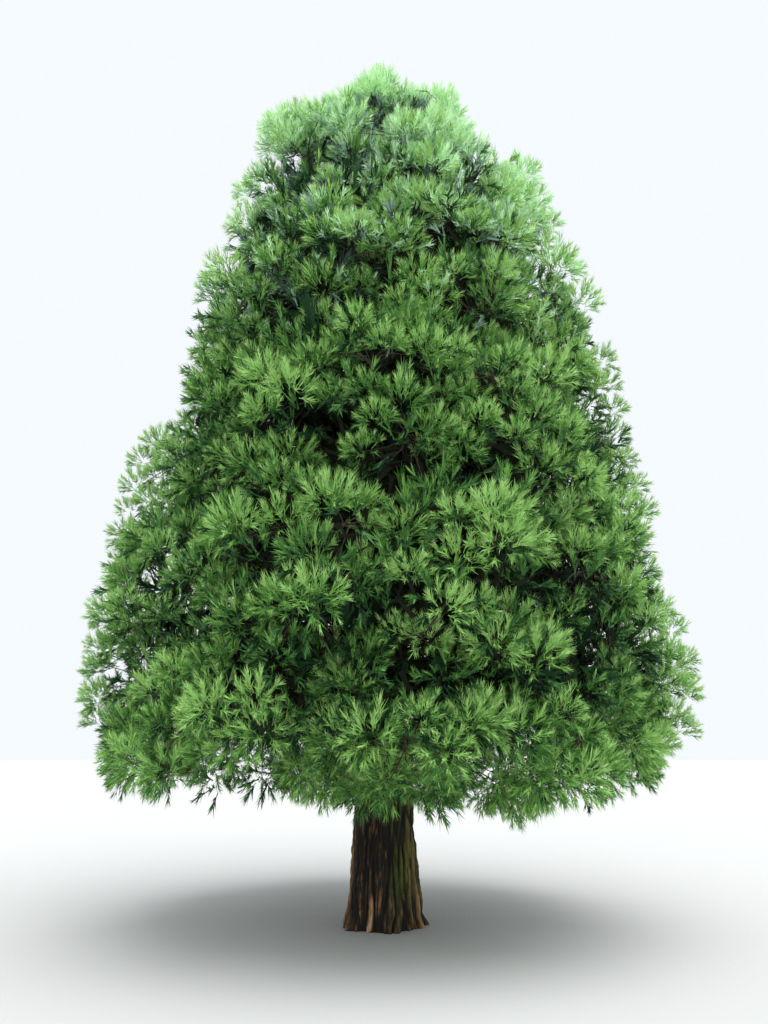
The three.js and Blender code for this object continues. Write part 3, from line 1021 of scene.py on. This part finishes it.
def seen_lobe_tops(points, normals):
    """Indices of the places on the crown's face that the photograph shows as tops of lobes."""
    eye, _, _ = camera_axes()
    across, down = pixels_of(points)
    hidden = (((eye - points) * normals).sum(1) <= 0) | (points[:, 1] >= LOBE_FRONT)
    tops = []
    for top_across, top_down in LOBES_SEEN:
        gap = np.hypot(across - top_across, down - top_down) + np.where(hidden, HIDDEN_GAP, 0)
        tops.append(int((gap + LOBE_DEPTH_GAP * (points[:, 1] + CAMERA_DISTANCE)).argmin()))
    return tops


# The crown's face

def sample_surface(mass, count, rng):
    """Random points of a mass's surface with their normals."""
    pick = rng.choice(len(mass["area"]), count, p=mass["area"] / mass["area"].sum())
    a, b = rng.random(count), rng.random(count)
    flip = a + b > 1
    a[flip], b[flip] = 1 - a[flip], 1 - b[flip]
    foot, left, right = mass["corners"][pick].transpose(1, 0, 2)
    return foot + a[:, None] * (left - foot) + b[:, None] * (right - foot), mass["normal"][pick]


def crown_solid(masses):
    corners = np.concatenate([mass["corners"] for mass in masses]).reshape(-1, 3)
    faces = np.arange(len(corners)).reshape(-1, 3)
    return BVHTree.FromPolygons([Vector(point) for point in corners], faces.tolist())


def exposures(points, normals, solid):
    """Share of the rays, from each point into the open, that meet no mass."""
    out = outward(points)
    side = np.cross(UP, out)
    free = np.zeros(len(points))
    for up, turn in EXPOSURE_LEANS:
        up, turn = math.radians(up), math.radians(turn)
        rays = math.cos(up) * (math.cos(turn) * out + math.sin(turn) * side) + math.sin(up) * UP
        for index, ray in enumerate(rays):
            origin = points[index] + EXPOSURE_START * normals[index]
            hit = solid.ray_cast(Vector(origin), Vector(ray), EXPOSURE_REACH)
            free[index] += hit[0] is None
    return free / len(EXPOSURE_LEANS)


def outer_face(masses, rng):
    """Random points over the crown's outer face: places, normals, how open each one is, and its mass."""
    solid = crown_solid(masses)
    found = []
    for index, mass in enumerate(masses):
        count = int(mass["area"].sum() * CANDIDATES_PER_SQUARE_METRE)
        points, normals = sample_surface(mass, count, rng)
        facing = (normals * outward(points)).sum(1) > FACE_LIMIT
        points, normals = points[facing], normals[facing]
        exposure = exposures(points, normals, solid)
        clear = exposure > LEAST_EXPOSURE
        found.append((points[clear], normals[clear], exposure[clear], np.full(clear.sum(), index)))
    return [np.concatenate(parts) for parts in zip(*found)]


def spread(points, order, spacing):
    """Indices of points taken in the given order, none nearer to an earlier one than its own spacing."""
    spacing = np.broadcast_to(spacing, len(points))
    chosen = []
    for index in order:
        if chosen and np.linalg.norm(points[chosen] - points[index], axis=1).min() < spacing[index]:
            continue
        chosen.append(index)
    return np.array(chosen, int)


def growth_lift(places):
    return by_height(places, GROWTH_LIFT_BY_HEIGHT)[:, None] * UP


def open_way(places):
    """Which way is open from places on the crown's face: out from the trunk, and up towards the top."""
    return unit(outward(places) + OPEN_WAY_LIFT * growth_lift(places))


# Tufts

def stretched_up(points):
    """Points with their heights stretched, for distances between lobes."""
    return points * np.array([1.0, 1.0, LOBE_STRETCH])


def place_lobes(face, order):
    """Lobes of the crown: tops read in the photograph first, then others wherever there is room."""
    points, normals, _, owner = face
    stretched = stretched_up(points)
    tops = spread(stretched, seen_lobe_tops(points, normals) + list(order), LOBE_SPACING)
    top = points[tops]
    axis = blended(LOBE_AXIS, (normals[tops], outward(top), growth_lift(top)))
    return SimpleNamespace(
        top=top, stretched=stretched[tops], centre=top - LOBE_DEPTH * axis, mass=owner[tops])


def place_tufts(face, rng):
    """Fresh tufts over the crown's face, swelling into broad lobes that are undercut."""
    points, normals, exposure, owner = face
    order = np.argsort(rng.uniform(0, ORDER_BY_CHANCE, len(points)) - exposure)
    lobes = place_lobes(face, order)
    chosen = spread(points, order, TUFT_SPACING * by_height(points, TUFT_SPACING_BY_HEIGHT))
    gaps = distances(stretched_up(points[chosen]), lobes.stretched)
    lobe = gaps.argmin(1)
    valley = smoothstep(gaps.min(1) / VALLEY_REACH)
    below = np.clip((lobes.top[lobe, 2] - points[chosen, 2]) / UNDERCUT_REACH, 0, 1) * valley
    kept = rng.random(len(chosen)) > THINNED_BELOW * below
    chosen, lobe, valley, below = chosen[kept], lobe[kept], valley[kept], below[kept]
    points = points[chosen]
    count = len(points)
    way = open_way(points)
    from_centre = unit(points - lobes.centre[lobe])
    chance = rng.normal(size=points.shape)
    axis = blended(TUFT_AXIS, (normals[chosen], way, from_centre, growth_lift(points), chance))
    radius = TUFT_RADIUS * rng.uniform(*TUFT_SIZES, count) * by_height(points, TUFT_RADIUS_BY_HEIGHT)
    swell = rng.normal(0.0, LOBE_SWELL, len(lobes.top))[lobe] * by_height(points, LOBE_SWELL_BY_HEIGHT)
    depth = VALLEY_DEPTH * valley + UNDERCUT * below - swell + rng.normal(0, TUFT_DEPTH_SPREAD, count)
    inset = TUFT_INSET * radius
    tufts = SimpleNamespace(
        middle=points - way * (depth + inset)[:, None] - axis * inset[:, None],
        axis=axis, radius=radius, mass=owner[chosen], lobe=lobe, lobes=lobes,
        tone=tuft_tones(points, lobes, lobe, valley, below, rng))
    add_fringe(tufts, rng)
    open_gaps(tufts)
    add_plumes(tufts, rng)
    add_hanging(tufts, rng)
    close_holes(tufts, rng)
    return tufts


def tuft_tones(points, lobes, lobe, valley, below, rng):
    """Tones of tufts, painted light and shade: bright on the tops of lobes, dark between them, darker on the
    crown's left.
    """
    rise = np.clip((points[:, 2] - lobes.centre[lobe, 2]) / LOBE_DEPTH, -1.0, 1.0)
    tone = rng.uniform(*LOBE_TONES, len(lobes.top))[lobe] + rng.uniform(*TUFT_TONES, len(points))
    # Painted light: lighter higher up and on a lobe's top, darker low on a lobe.
    tone += by_height(points, TUFT_PAINTED_LIGHT_BY_HEIGHT) + LOBE_TOP_PAINTED_LIGHT * rise
    # Painted shade: darker on the crown's left, in valleys and on undersides.
    tone += LEFT_SIDE_PAINTED_SHADE * np.clip(-points[:, 0] / LEFT_SIDE_REACH, 0.0, 1.0)
    return tone + VALLEY_PAINTED_SHADE * valley + UNDERSIDE_PAINTED_SHADE * below


def keep_tufts(tufts, kept):
    """Drops all tufts but those marked."""
    for name, values in vars(tufts).items():
        if name != "lobes":
            setattr(tufts, name, values[kept])


def add_tufts(tufts, places, axis, radius, tone):
    """Adds tufts that belong to the lobes nearest to them."""
    lobe = distances(places, tufts.lobes.centre).argmin(1)
    added = dict(middle=places, axis=axis, radius=radius, mass=tufts.lobes.mass[lobe], tone=tone, lobe=lobe)
    for name, values in added.items():
        setattr(tufts, name, np.concatenate([getattr(tufts, name), values]))


def open_gaps(tufts):
    """Drops tufts that stand alone or in a gap of the photograph, and darkens those round its dark gaps."""
    alone = (distances(tufts.middle, tufts.middle) < STRAY_REACH).sum(1) <= STRAY_NEIGHBOURS
    front = tufts.middle[:, 1] < 0
    # Painted shade: tufts round a dark gap are darker.
    rim = front & in_gaps(tufts.middle, DARK_GAPS, DARK_RIM)
    tufts.tone = tufts.tone + np.where(rim, DARK_RIM_PAINTED_SHADE, 0.0)
    in_dark = front & in_gaps(tufts.middle, DARK_GAPS)
    keep_tufts(tufts, ~alone & ~in_gaps(tufts.middle, SKY_GAPS) & ~in_dark)


def add_fringe(tufts, rng):
    """Adds hanging tufts along the crown's lower edge, wherever none is near."""
    for reach, height in FRINGE_RINGS:
        number = int(2 * math.pi * reach / FRINGE_STEP)
        step = np.arange(number) + rng.uniform(-FRINGE_UNEVENNESS, FRINGE_UNEVENNESS, number)
        places = around_trunk(reach, 2 * math.pi * step / number, np.full(number, height))
        places += rng.normal(0, FRINGE_SPREAD, places.shape)
        places = places[distances(places, tufts.middle).min(1) > FRINGE_GAP]
        radius = TUFT_RADIUS * rng.uniform(*FRINGE_SIZES, len(places))
        tone = rng.uniform(*FRINGE_TONES, len(places))
        add_tufts(tufts, places, unit(outward(places) - FRINGE_DROOP * UP), radius, tone)


def add_plumes(tufts, rng):
    """Adds the up-swept plumes along the crown's outline. The low ones are darker than the high ones:
    painted shade.
    """
    places = np.array([place_in_view(*plume) for plume in PLUMES])
    axis = unit(PLUME_LEAN * outward(places) + UP + PLUME_LEAN_SPREAD * rng.normal(size=places.shape))
    tone = rng.uniform(*PLUME_TONES, len(places))
    tone -= np.where(places[:, 2] < LOW_PLUMES_BELOW, LOW_PLUME_PAINTED_SHADE, 0.0)
    radius = PLUME_RADIUS * rng.uniform(*PLUME_SIZES, len(places))
    add_tufts(tufts, places - 0.5 * PLUME_RADIUS * axis, axis, radius, tone)


def add_hanging(tufts, rng):
    """Adds the tufts that hang beside the trunk, a few deep."""
    places = np.array([place_in_view(across, down, in_front - layer)
                       for across, down, in_front in HANGING for layer in HANGING_LAYERS])
    places += rng.normal(0, HANGING_SPREAD, places.shape)
    axis = unit(outward(places) - HANGING_DROOP * UP)
    radius = np.full(len(places), PLUME_RADIUS)
    add_tufts(tufts, places, axis, radius, rng.uniform(*HANGING_TONES, len(places)))


def close_holes(tufts, rng):
    """Adds tufts where the sides and the back are open to the trunk. The front follows the photograph."""
    holes = []
    for turn in np.arange(0, 2 * math.pi, HOLE_TURN_STEP):
        out = np.array([math.cos(turn), math.sin(turn), 0.0])
        if out[1] < CAMERA_SIDE:
            continue
        reach = tufts.middle @ out
        aside = np.where(reach > 0, tufts.middle @ np.cross(UP, out), np.inf)
        for height in np.arange(*HOLE_HEIGHTS):
            gap = np.hypot(aside, tufts.middle[:, 2] - height)
            if gap.min() > np.interp(height, *HOLE_GAPS_BY_HEIGHT):
                near = np.argsort(gap)[:HOLE_NEIGHBOURS]
                holes.append(out * np.median(reach[near]) + UP * height)
    holes = np.array(holes).reshape(-1, 3)
    holes = holes[spread(holes, range(len(holes)), HOLE_SPACING)]
    radius = TUFT_RADIUS * rng.uniform(*HOLE_SIZES, len(holes))
    add_tufts(tufts, holes, open_way(holes), radius, rng.uniform(*HOLE_TONES, len(holes)))


# Old tufts, core and dead shoots

def near_tufts(places, tufts):
    """How many fresh tufts are near enough to each place to cover it."""
    return (distances(places, tufts.middle) < OLD_TUFT_COVER).sum(1)


def place_old_tufts(face, tufts, rng):
    """Darker tufts, old and in painted shade, behind the crown's face, behind the plumes at its edge and
    under the skirt.
    """
    points, normals, _, owner = face
    inside = points - open_way(points) * OLD_TUFT_DEPTH
    chosen = spread(inside, rng.permutation(len(points)), OLD_TUFT_SPACING)
    behind = inside[chosen] - OLD_TUFT_SPREAD * rng.random((len(chosen), 1)) * normals[chosen]
    radius = OLD_TUFT_RADIUS * by_height(behind, OLD_TUFT_RADIUS_BY_HEIGHT)
    radius *= np.interp(near_tufts(behind, tufts), *OLD_TUFT_SHRINKS)
    under = place_under_tufts(rng)
    under_reach = np.hypot(*under[:, :2].T)
    under_radius = OLD_TUFT_RADIUS * np.interp(under_reach, UNDER_REACH, UNDER_SHRINKS)
    edge = np.array([place_in_view(*plume) for plume in PLUMES])
    edge = edge[edge[:, 2] < BACKED_BELOW]
    edge = np.concatenate([edge - backing * outward(edge) for backing in PLUME_BACKINGS])
    middle = np.concatenate([behind, under, edge])
    # Dark for their age and as painted shade, and lighter towards the top as painted light.
    old = SimpleNamespace(
        middle=middle,
        axis=np.concatenate([open_way(behind), unit(outward(under) - UNDER_DROOP * UP), open_way(edge)]),
        radius=np.concatenate([radius, under_radius, np.full(len(edge), BACKING_RADIUS)]),
        mass=owner[distances(middle, points).argmin(1)],
        tone=rng.uniform(*OLD_TONES, len(middle)) + by_height(middle, INNER_PAINTED_LIGHT_BY_HEIGHT))
    # Painted light: the backings at the crown's edge are lighter.
    old.tone[-len(edge):] += BACKING_PAINTED_LIGHT
    low = middle[:, 2] < OLD_TUFTS_STAY_BELOW
    covered = near_tufts(middle, tufts) > OLD_TUFT_SHRINKS[0][0]
    keep_tufts(old, (covered | low) & ~in_gaps(middle, SKY_GAPS))
    return old


def place_under_tufts(rng):
    """Places for the tufts under the crown, on a spiral round the trunk."""
    share = (np.arange(UNDER_TUFTS) + 0.5) / UNDER_TUFTS
    reach = np.sqrt(UNDER_REACH[0] ** 2 + share * (UNDER_REACH[1] ** 2 - UNDER_REACH[0] ** 2))
    height = np.interp(reach, UNDER_REACH, UNDER_HEIGHT) + rng.uniform(*UNDER_RISES, UNDER_TUFTS)
    places = around_trunk(reach, np.arange(UNDER_TUFTS) * GOLDEN_ANGLE, height)
    return places + rng.normal(0, UNDER_SPREAD, places.shape)


def place_core_tufts(masses, rng):
    """Dark tufts in a column round the trunk, on a spiral that climbs it: dead foliage with painted shade.
    """
    level = np.linspace(CORE_HEIGHTS[0], CORE_HEIGHTS[-1], CORE_TUFTS)
    height = level + rng.normal(0, CORE_LEVEL_SPREAD, CORE_TUFTS)
    reach = np.interp(height, CORE_HEIGHTS, CORE_REACHES) * rng.uniform(*CORE_SPREAD, CORE_TUFTS)
    middle = around_trunk(reach, np.arange(CORE_TUFTS) * GOLDEN_ANGLE, height)
    centres = np.array([mass["middle"] for mass in masses])
    return SimpleNamespace(
        middle=middle, axis=unit(CORE_LEAN * outward(middle) + UP),
        mass=distances(middle, centres).argmin(1),
        radius=CORE_TUFT_RADIUS * by_height(middle, CORE_TUFT_RADIUS_BY_HEIGHT),
        tone=rng.uniform(*CORE_TONES, CORE_TUFTS) + by_height(middle, INNER_PAINTED_LIGHT_BY_HEIGHT))


def dead_shoots(mass, rng):
    """Corners of broad dark shoots that lie across the way in, well behind a mass's outer face; their
    near-black is painted shade.
    """
    count = int(mass["area"].sum() * DEAD_SHOOTS_PER_SQUARE_METRE)
    points, normals = sample_surface(mass, count, rng)
    points = points[(normals * outward(points)).sum(1) > DEAD_SHOOT_LIMIT]
    start = points - open_way(points) * rng.uniform(*DEAD_SHOOT_DEPTHS, len(points))[:, None]
    start = start[(start[:, 2] > DEAD_SHOOT_LOWEST) & ~in_gaps(start, SKY_GAPS)]
    out = outward(start)
    lean = rng.normal(size=start.shape)
    across = unit(lean - 0.8 * (lean * out).sum(1, keepdims=True) * out)
    length = DEAD_SHOOT_LENGTH * rng.uniform(*DEAD_SHOOT_SIZES, len(start))
    side = unit(np.cross(across, out) + 0.5 * rng.normal(size=start.shape)) * DEAD_SHOOT_WIDTH / 2
    return np.stack([start - side, start + side, start + across * length[:, None]], axis=1)


# Sprays

def grow_sprays(tufts, number, rng):
    """Sprays that radiate from each tuft's middle, spread evenly over its cap."""
    tuft_count = len(tufts.middle)
    owner = np.repeat(np.arange(tuft_count), number)
    step = np.tile(np.arange(number), tuft_count)
    count = len(owner)
    cap = 1 - math.cos(math.radians(SPRAY_CAP))
    lean = np.arccos(1 - (step + 0.5) / number * cap) + rng.normal(0, LEAN_SPREAD, count)
    turn = step * GOLDEN_ANGLE + rng.uniform(0, 2 * math.pi, tuft_count)[owner]
    turn += rng.normal(0, TURN_SPREAD, count)
    place = cone_directions(tufts.axis[owner], lean, turn)
    place[:, 2] *= 1 - TUFT_FLATNESS
    from_height, to_height = SPRAY_GATHER_HEIGHTS
    high = smoothstep((tufts.middle[owner, 2] - from_height) / (to_height - from_height))
    gather = SPRAY_GATHER[0] + (SPRAY_GATHER[1] - SPRAY_GATHER[0]) * high
    turn = turn + rng.normal(0, GATHERED_TURN_SPREAD, count)
    direction = cone_directions(tufts.axis[owner], gather * lean, turn)
    direction[:, 2] *= 1 - TUFT_FLATNESS
    radius = tufts.radius[owner]
    # Painted light and shade: sprays on a tuft's upper side are lighter, those below darker.
    tone = SPRAY_TONE + UPPER_SIDE_PAINTED_LIGHT * place[:, 2] + tufts.tone[owner]
    tone += rng.normal(0, SPRAY_TONE_SPREAD, count)
    length = SPRAY_REACH * radius * rng.uniform(*SPRAY_SIZES, count) * (1 + HIGH_SPRAYS_LONGER * high)
    return SimpleNamespace(
        root=tufts.middle[owner] + SPRAY_FOOT * radius[:, None] * place, direction=unit(direction),
        length=length, bend=SPRAY_BEND * place[:, 2] + LEAST_BEND, tone=tone, mass=tufts.mass[owner])


def grow_leader(mass, rng):
    """The sprays up the leader, all counted to one mass."""
    count = LEADER_SPRAYS
    low, _, top = LEADER_HEIGHTS
    height = np.linspace(low, top, count) + rng.uniform(-0.02, 0.02, count)
    lean = np.radians(np.interp(height, (low, top), LEADER_LEANS))
    length = np.interp(height, LEADER_HEIGHTS, LEADER_LENGTHS) * rng.uniform(*LEADER_SIZES, count)
    return SimpleNamespace(
        root=trunk_points(height),
        direction=cone_directions(np.tile(UP, (count, 1)), lean, np.arange(count) * GOLDEN_ANGLE),
        length=length, bend=np.full(count, LEADER_BEND), tone=np.full(count, LEADER_TONE),
        mass=np.full(count, mass))


def spray_template(seed, forks, width):
    """One spray of unit length along +X: corners of its cords, and each cord's share of the way out."""
    rng = np.random.default_rng(seed)
    sway = rng.uniform(-STALK_SWAY, STALK_SWAY, 2)
    corners, shares = [], []

    def stalk(share):
        return np.array([share, sway[0] * share ** 2, sway[1] * share ** 2])

    def add_cord(foot, tip, half):
        corners.append([foot - half, foot + half, tip])
        shares.append(np.linalg.norm(tip))

    across_stalk = unit(rng.normal(size=3) * np.array([0.1, 1, 1]))
    add_cord(stalk(0.0), stalk(STALK_REACH), across_stalk * width * STALK_WIDTH)
    for step in range(forks):
        share = FORK_FROM + FORK_SPAN * (step + rng.uniform(0.1, 0.9)) / forks
        turn = step * GOLDEN_ANGLE + rng.normal(0, 0.3)
        angle = math.radians(FORK_ANGLE - FORK_ANGLE_LOSS * share + rng.normal(0, FORK_ANGLE_SPREAD))
        around = np.array([0.0, math.cos(turn), math.sin(turn)])
        main = math.cos(angle) * np.array([1.0, 0, 0]) + math.sin(angle) * around
        length = min(FORK_LENGTH, FORK_REACH - share) * rng.uniform(*SPRAY_SIZES)
        foot = stalk(share)
        half = unit(np.cross(main, rng.normal(size=3))) * width / 2
        aside = unit(np.cross(main, rng.normal(size=3)))
        add_cord(foot, foot + main * length, half)
        for side in (1, -1):
            lean = side * math.tan(math.radians(rng.uniform(*SIDE_ANGLES)))
            fork = foot + main * length * rng.uniform(*SIDE_PLACES)
            add_cord(fork, fork + unit(main + lean * aside) * length * rng.uniform(*SIDE_LENGTHS), half)
    return np.array(corners), np.array(shares)


def cords_of_sprays(sprays, forks, width, tip_tone, rng):
    """Every cord of every spray: its corners, its tone, its mass, and whether its spray is a paler one,
    painted with sky glow.
    """
    templates = [spray_template(TEMPLATE_SEED + number, forks, width) for number in range(SPRAY_TEMPLATES)]
    which = rng.integers(0, SPRAY_TEMPLATES, len(sprays.root))
    turned = frames_along(sprays.direction, rng)
    # Painted sky glow: more and more sprays up the crown take the paler, bluer greens.
    pale = rng.random(len(which)) < smoothstep((sprays.root[:, 2] - HIGH_FROM) / (HIGH_TO - HIGH_FROM))
    found = []
    for number, (cords, shares) in enumerate(templates):
        chosen = np.flatnonzero(which == number)
        placed = np.einsum("nij,kvj->nkvi", turned[chosen], cords) * sprays.length[chosen, None, None, None]
        placed[..., 2] += sprays.bend[chosen, None, None] * np.linalg.norm(placed, axis=-1) ** 2
        placed += sprays.root[chosen, None, None, :]
        tones = tip_tone * shares[None, :] ** TIP_TONE_POWER + sprays.tone[chosen, None]
        masses, pales = (np.repeat(values[chosen], len(cords)) for values in (sprays.mass, pale))
        found.append((placed.reshape(-1, 3, 3), tones.ravel(), masses, pales))
    return [np.concatenate(parts) for parts in zip(*found)]


def deal_shades(tones, pale, rng):
    """Material number of each cord, from its tone and from whether it is a pale one."""
    count = len(FOLIAGE_SHADES)
    mixed = tones + rng.normal(0, TONE_SPREAD, len(tones))
    slots = np.clip((1 + mixed * (count - 1)).astype(int), 1, count - 1)
    slots[mixed < INNER_BELOW] = 0
    slots[pale] += count
    return slots


# Twigs

def curved_paths(start, end, start_direction, rings, sag):
    """Paths that leave the start along a direction and bend into the end."""
    span = np.linalg.norm(end - start, axis=-1, keepdims=True)
    control = start + start_direction * span * 0.5 - UP * span * sag
    share = np.linspace(0, 1, rings)[None, :, None]
    first, last = (1 - share) ** 2 * start[:, None], share ** 2 * end[:, None]
    return first + 2 * share * (1 - share) * control[:, None] + last


def along_path(path, share):
    """Places and directions at shares of the way along one path."""
    steps = len(path) - 1
    place = np.clip((share * steps).astype(int), 0, steps - 1)
    step = path[place + 1] - path[place]
    return path[place] + (share * steps - place)[:, None] * step, unit(step)


def limb_in_mass(mass, nodes):
    """A bough's way on inside its mass, and the foot, direction and thickness of a branch for each node."""
    middles, radii = limb_line(mass["bough"])
    start, direction, thick = middles[-1], unit(middles[-1] - middles[-2]), radii[-1]
    end = (1 - MIDDLE_SHARE) * nodes.mean(0) + MIDDLE_SHARE * mass["middle"]
    limb = curved_paths(start[None], end[None], direction[None], LIMB_RINGS, 0.0)[0]
    tube = tubes(limb[None], np.linspace(thick, LIMB_TAPER * thick, LIMB_RINGS)[None], LIMB_SIDES)
    reach = (nodes - start) @ unit(end - start) / np.linalg.norm(end - start)
    share = np.clip(reach - BRANCH_SET_BACK, *BRANCH_FEET)
    foot, lead = along_path(limb, share)
    return tube, foot, lead, np.interp(share, (0, 1), BRANCH_WIDTHS) * thick


def stem_branches(nodes):
    """Foot, direction and thickness of branches that leave the upper trunk for nodes."""
    level = np.clip(nodes[:, 2] - STEM_BRANCH_RISE * np.linalg.norm(nodes[:, :2], axis=1), *STEM_BRANCH_FEET)
    foot = trunk_points(level)
    return foot, unit(nodes - foot), np.minimum(STEM_BRANCH_RADIUS, STEM_BRANCH_SHARE * trunk_radius(level))


def grow_branches(masses, tufts):
    """Tubes by tier: a branch for each lobe and a twig for each tuft, from the mass's limb or the trunk."""
    lobes = tufts.lobes
    tiers = {tier: [] for tier in TIERS}
    for index, mass in enumerate(masses):
        own = np.flatnonzero(lobes.mass == index)
        if not len(own):
            continue
        wood = tiers[mass["tier"]]
        nodes = lobes.centre[own]
        if mass["bough"]:
            limb, foot, lead, width = limb_in_mass(mass, nodes)
            wood.append(limb)
        else:
            foot, lead, width = stem_branches(nodes)
        path = curved_paths(foot, nodes, lead, BRANCH_RINGS, BRANCH_SAG)
        wood.append(tubes(path, width[:, None] * np.linspace(*BRANCH_TAPER, BRANCH_RINGS), BRANCH_SIDES))
        lead = unit(path[:, -1] - path[:, -2])
        twigs = np.flatnonzero(np.isin(tufts.lobe, own))
        group = np.searchsorted(own, tufts.lobe[twigs])
        path = curved_paths(nodes[group], tufts.middle[twigs], lead[group], TWIG_RINGS, 0.0)
        taper = np.linspace(*TWIG_TAPER, TWIG_RINGS)
        wood.append(tubes(path, 0.5 * width[group, None] * taper, TWIG_SIDES))
    return tiers


# The crown

def cord_share(width, radius):
    """A cord's width as a share of the length of its spray."""
    return width / (SPRAY_REACH * radius)


def grow_cords(face, masses, tufts, rng):
    """All cords of the crown, layer by layer: corners, tones, masses and which are pale."""
    old_tufts = place_old_tufts(face, tufts, rng)
    core_tufts = place_core_tufts(masses, rng)
    fresh = cord_share(FRESH_CORD_WIDTH, TUFT_RADIUS), FRESH_TIP_TONE
    old = cord_share(OLD_CORD_WIDTH, OLD_TUFT_RADIUS), OLD_TIP_TONE
    core = cord_share(CORE_CORD_WIDTH, CORE_TUFT_RADIUS), CORE_TIP_TONE
    layers = (
        cords_of_sprays(grow_sprays(tufts, SPRAYS_PER_TUFT, rng), FRESH_FORKS, *fresh, rng),
        cords_of_sprays(grow_leader(len(masses) - 1, rng), FRESH_FORKS, *fresh, rng),
        cords_of_sprays(grow_sprays(old_tufts, OLD_SPRAYS_PER_TUFT, rng), OLD_FORKS, *old, rng),
        cords_of_sprays(grow_sprays(core_tufts, CORE_SPRAYS_PER_TUFT, rng), OLD_FORKS, *core, rng))
    return [np.concatenate(parts) for parts in zip(*layers)]


def group_masses(counts):
    """Runs of neighbouring masses whose triangles together stay under the limit of one mesh."""
    groups, triangles = [[]], 0
    for index, count in enumerate(counts):
        if groups[-1] and triangles + count > MOST_TRIANGLES:
            groups.append([])
            triangles = 0
        groups[-1].append(index)
        triangles += count
    return groups


def make_foliage(masses, corners, slots, owner):
    """Pieces of foliage, each for a run of masses."""
    materials = foliage_materials()
    for number, members in enumerate(group_masses(np.bincount(owner, minlength=len(masses))), start=1):
        own = (owner >= members[0]) & (owner <= members[-1])
        points = corners[own].reshape(-1, 3)
        faces = np.arange(len(points)).reshape(-1, 3)
        obj = build_mesh(f"foliage_{number}", points, faces, materials, slots[own])
        finish_piece(obj, [masses[index]["name"] for index in members])


def make_twigs(masses, tufts):
    material = twig_material()
    for tier, parts in grow_branches(masses, tufts).items():
        points, quads = joined(parts)
        finish_piece(build_mesh(f"twigs_{tier}", points, quads, [material], smooth=True), [])


def make_crown():
    rng = np.random.default_rng(SEED)
    masses = read_masses()
    face = outer_face(masses, rng)
    tufts = place_tufts(face, rng)
    corners, tones, owner, pale = grow_cords(face, masses, tufts, rng)
    slots = deal_shades(tones, pale, rng)
    dead = [dead_shoots(mass, rng) for mass in masses]
    dead_owner = np.repeat(np.arange(len(masses)), [len(shoots) for shoots in dead])
    corners = np.concatenate([corners, *dead])
    # Dead shoots take the near-black inner shade: painted shade.
    slots = np.concatenate([slots, np.zeros(len(dead_owner), int)])
    make_foliage(masses, corners, slots, np.concatenate([owner, dead_owner]))
    make_twigs(masses, tufts)


# Stage, light and camera

def make_floor():
    bpy.ops.mesh.primitive_circle_add(
        vertices=FLOOR_SIDES, radius=FLOOR_RADIUS, fill_type="NGON", location=(0, 0, 0))
    floor = bpy.context.object
    floor.name = "studio_floor"
    floor.data.materials.append(plain_material("floor_paint", FLOOR_COLOUR, FLOOR_ROUGHNESS, FLOOR_SPECULAR))


def make_lights():
    scene = bpy.context.scene
    scene.view_settings.view_transform = "Standard"
    world = bpy.data.worlds.new("studio_world")
    world.use_nodes = True
    background = world.node_tree.nodes["Background"]
    background.inputs["Color"].default_value = (*SKY_COLOUR, 1.0)
    background.inputs["Strength"].default_value = SKY_STRENGTH
    scene.world = world
    for name, strength, width, rotation in LAMPS:
        light = bpy.data.lights.new(name, "SUN")
        light.energy = strength
        light.angle = math.radians(width)
        add_object(name, light).rotation_euler = [math.radians(value) for value in rotation]


def make_camera():
    data = bpy.data.cameras.new("camera")
    data.sensor_fit = "AUTO"
    data.sensor_width = SENSOR_MM
    data.lens = FOCAL_PX / IMAGE_LONG_SIDE_PX * SENSOR_MM
    data.clip_end = 400
    camera = add_object("camera", data)
    camera.location = (0, -CAMERA_DISTANCE, CAMERA_HEIGHT)
    camera.rotation_euler = (math.radians(90 + CAMERA_PITCH), 0, 0)
    bpy.context.scene.camera = camera


make_camera()
SECTIONS = trunk_sections()
make_trunk(bark_material("trunk_bark", with_moss=True))
bough_bark = bark_material("bough_bark", with_moss=False)
for bough_tier in TIERS_WITH_BOUGHS:
    make_boughs(bough_tier, bough_bark)
make_crown()
make_floor()
make_lights()
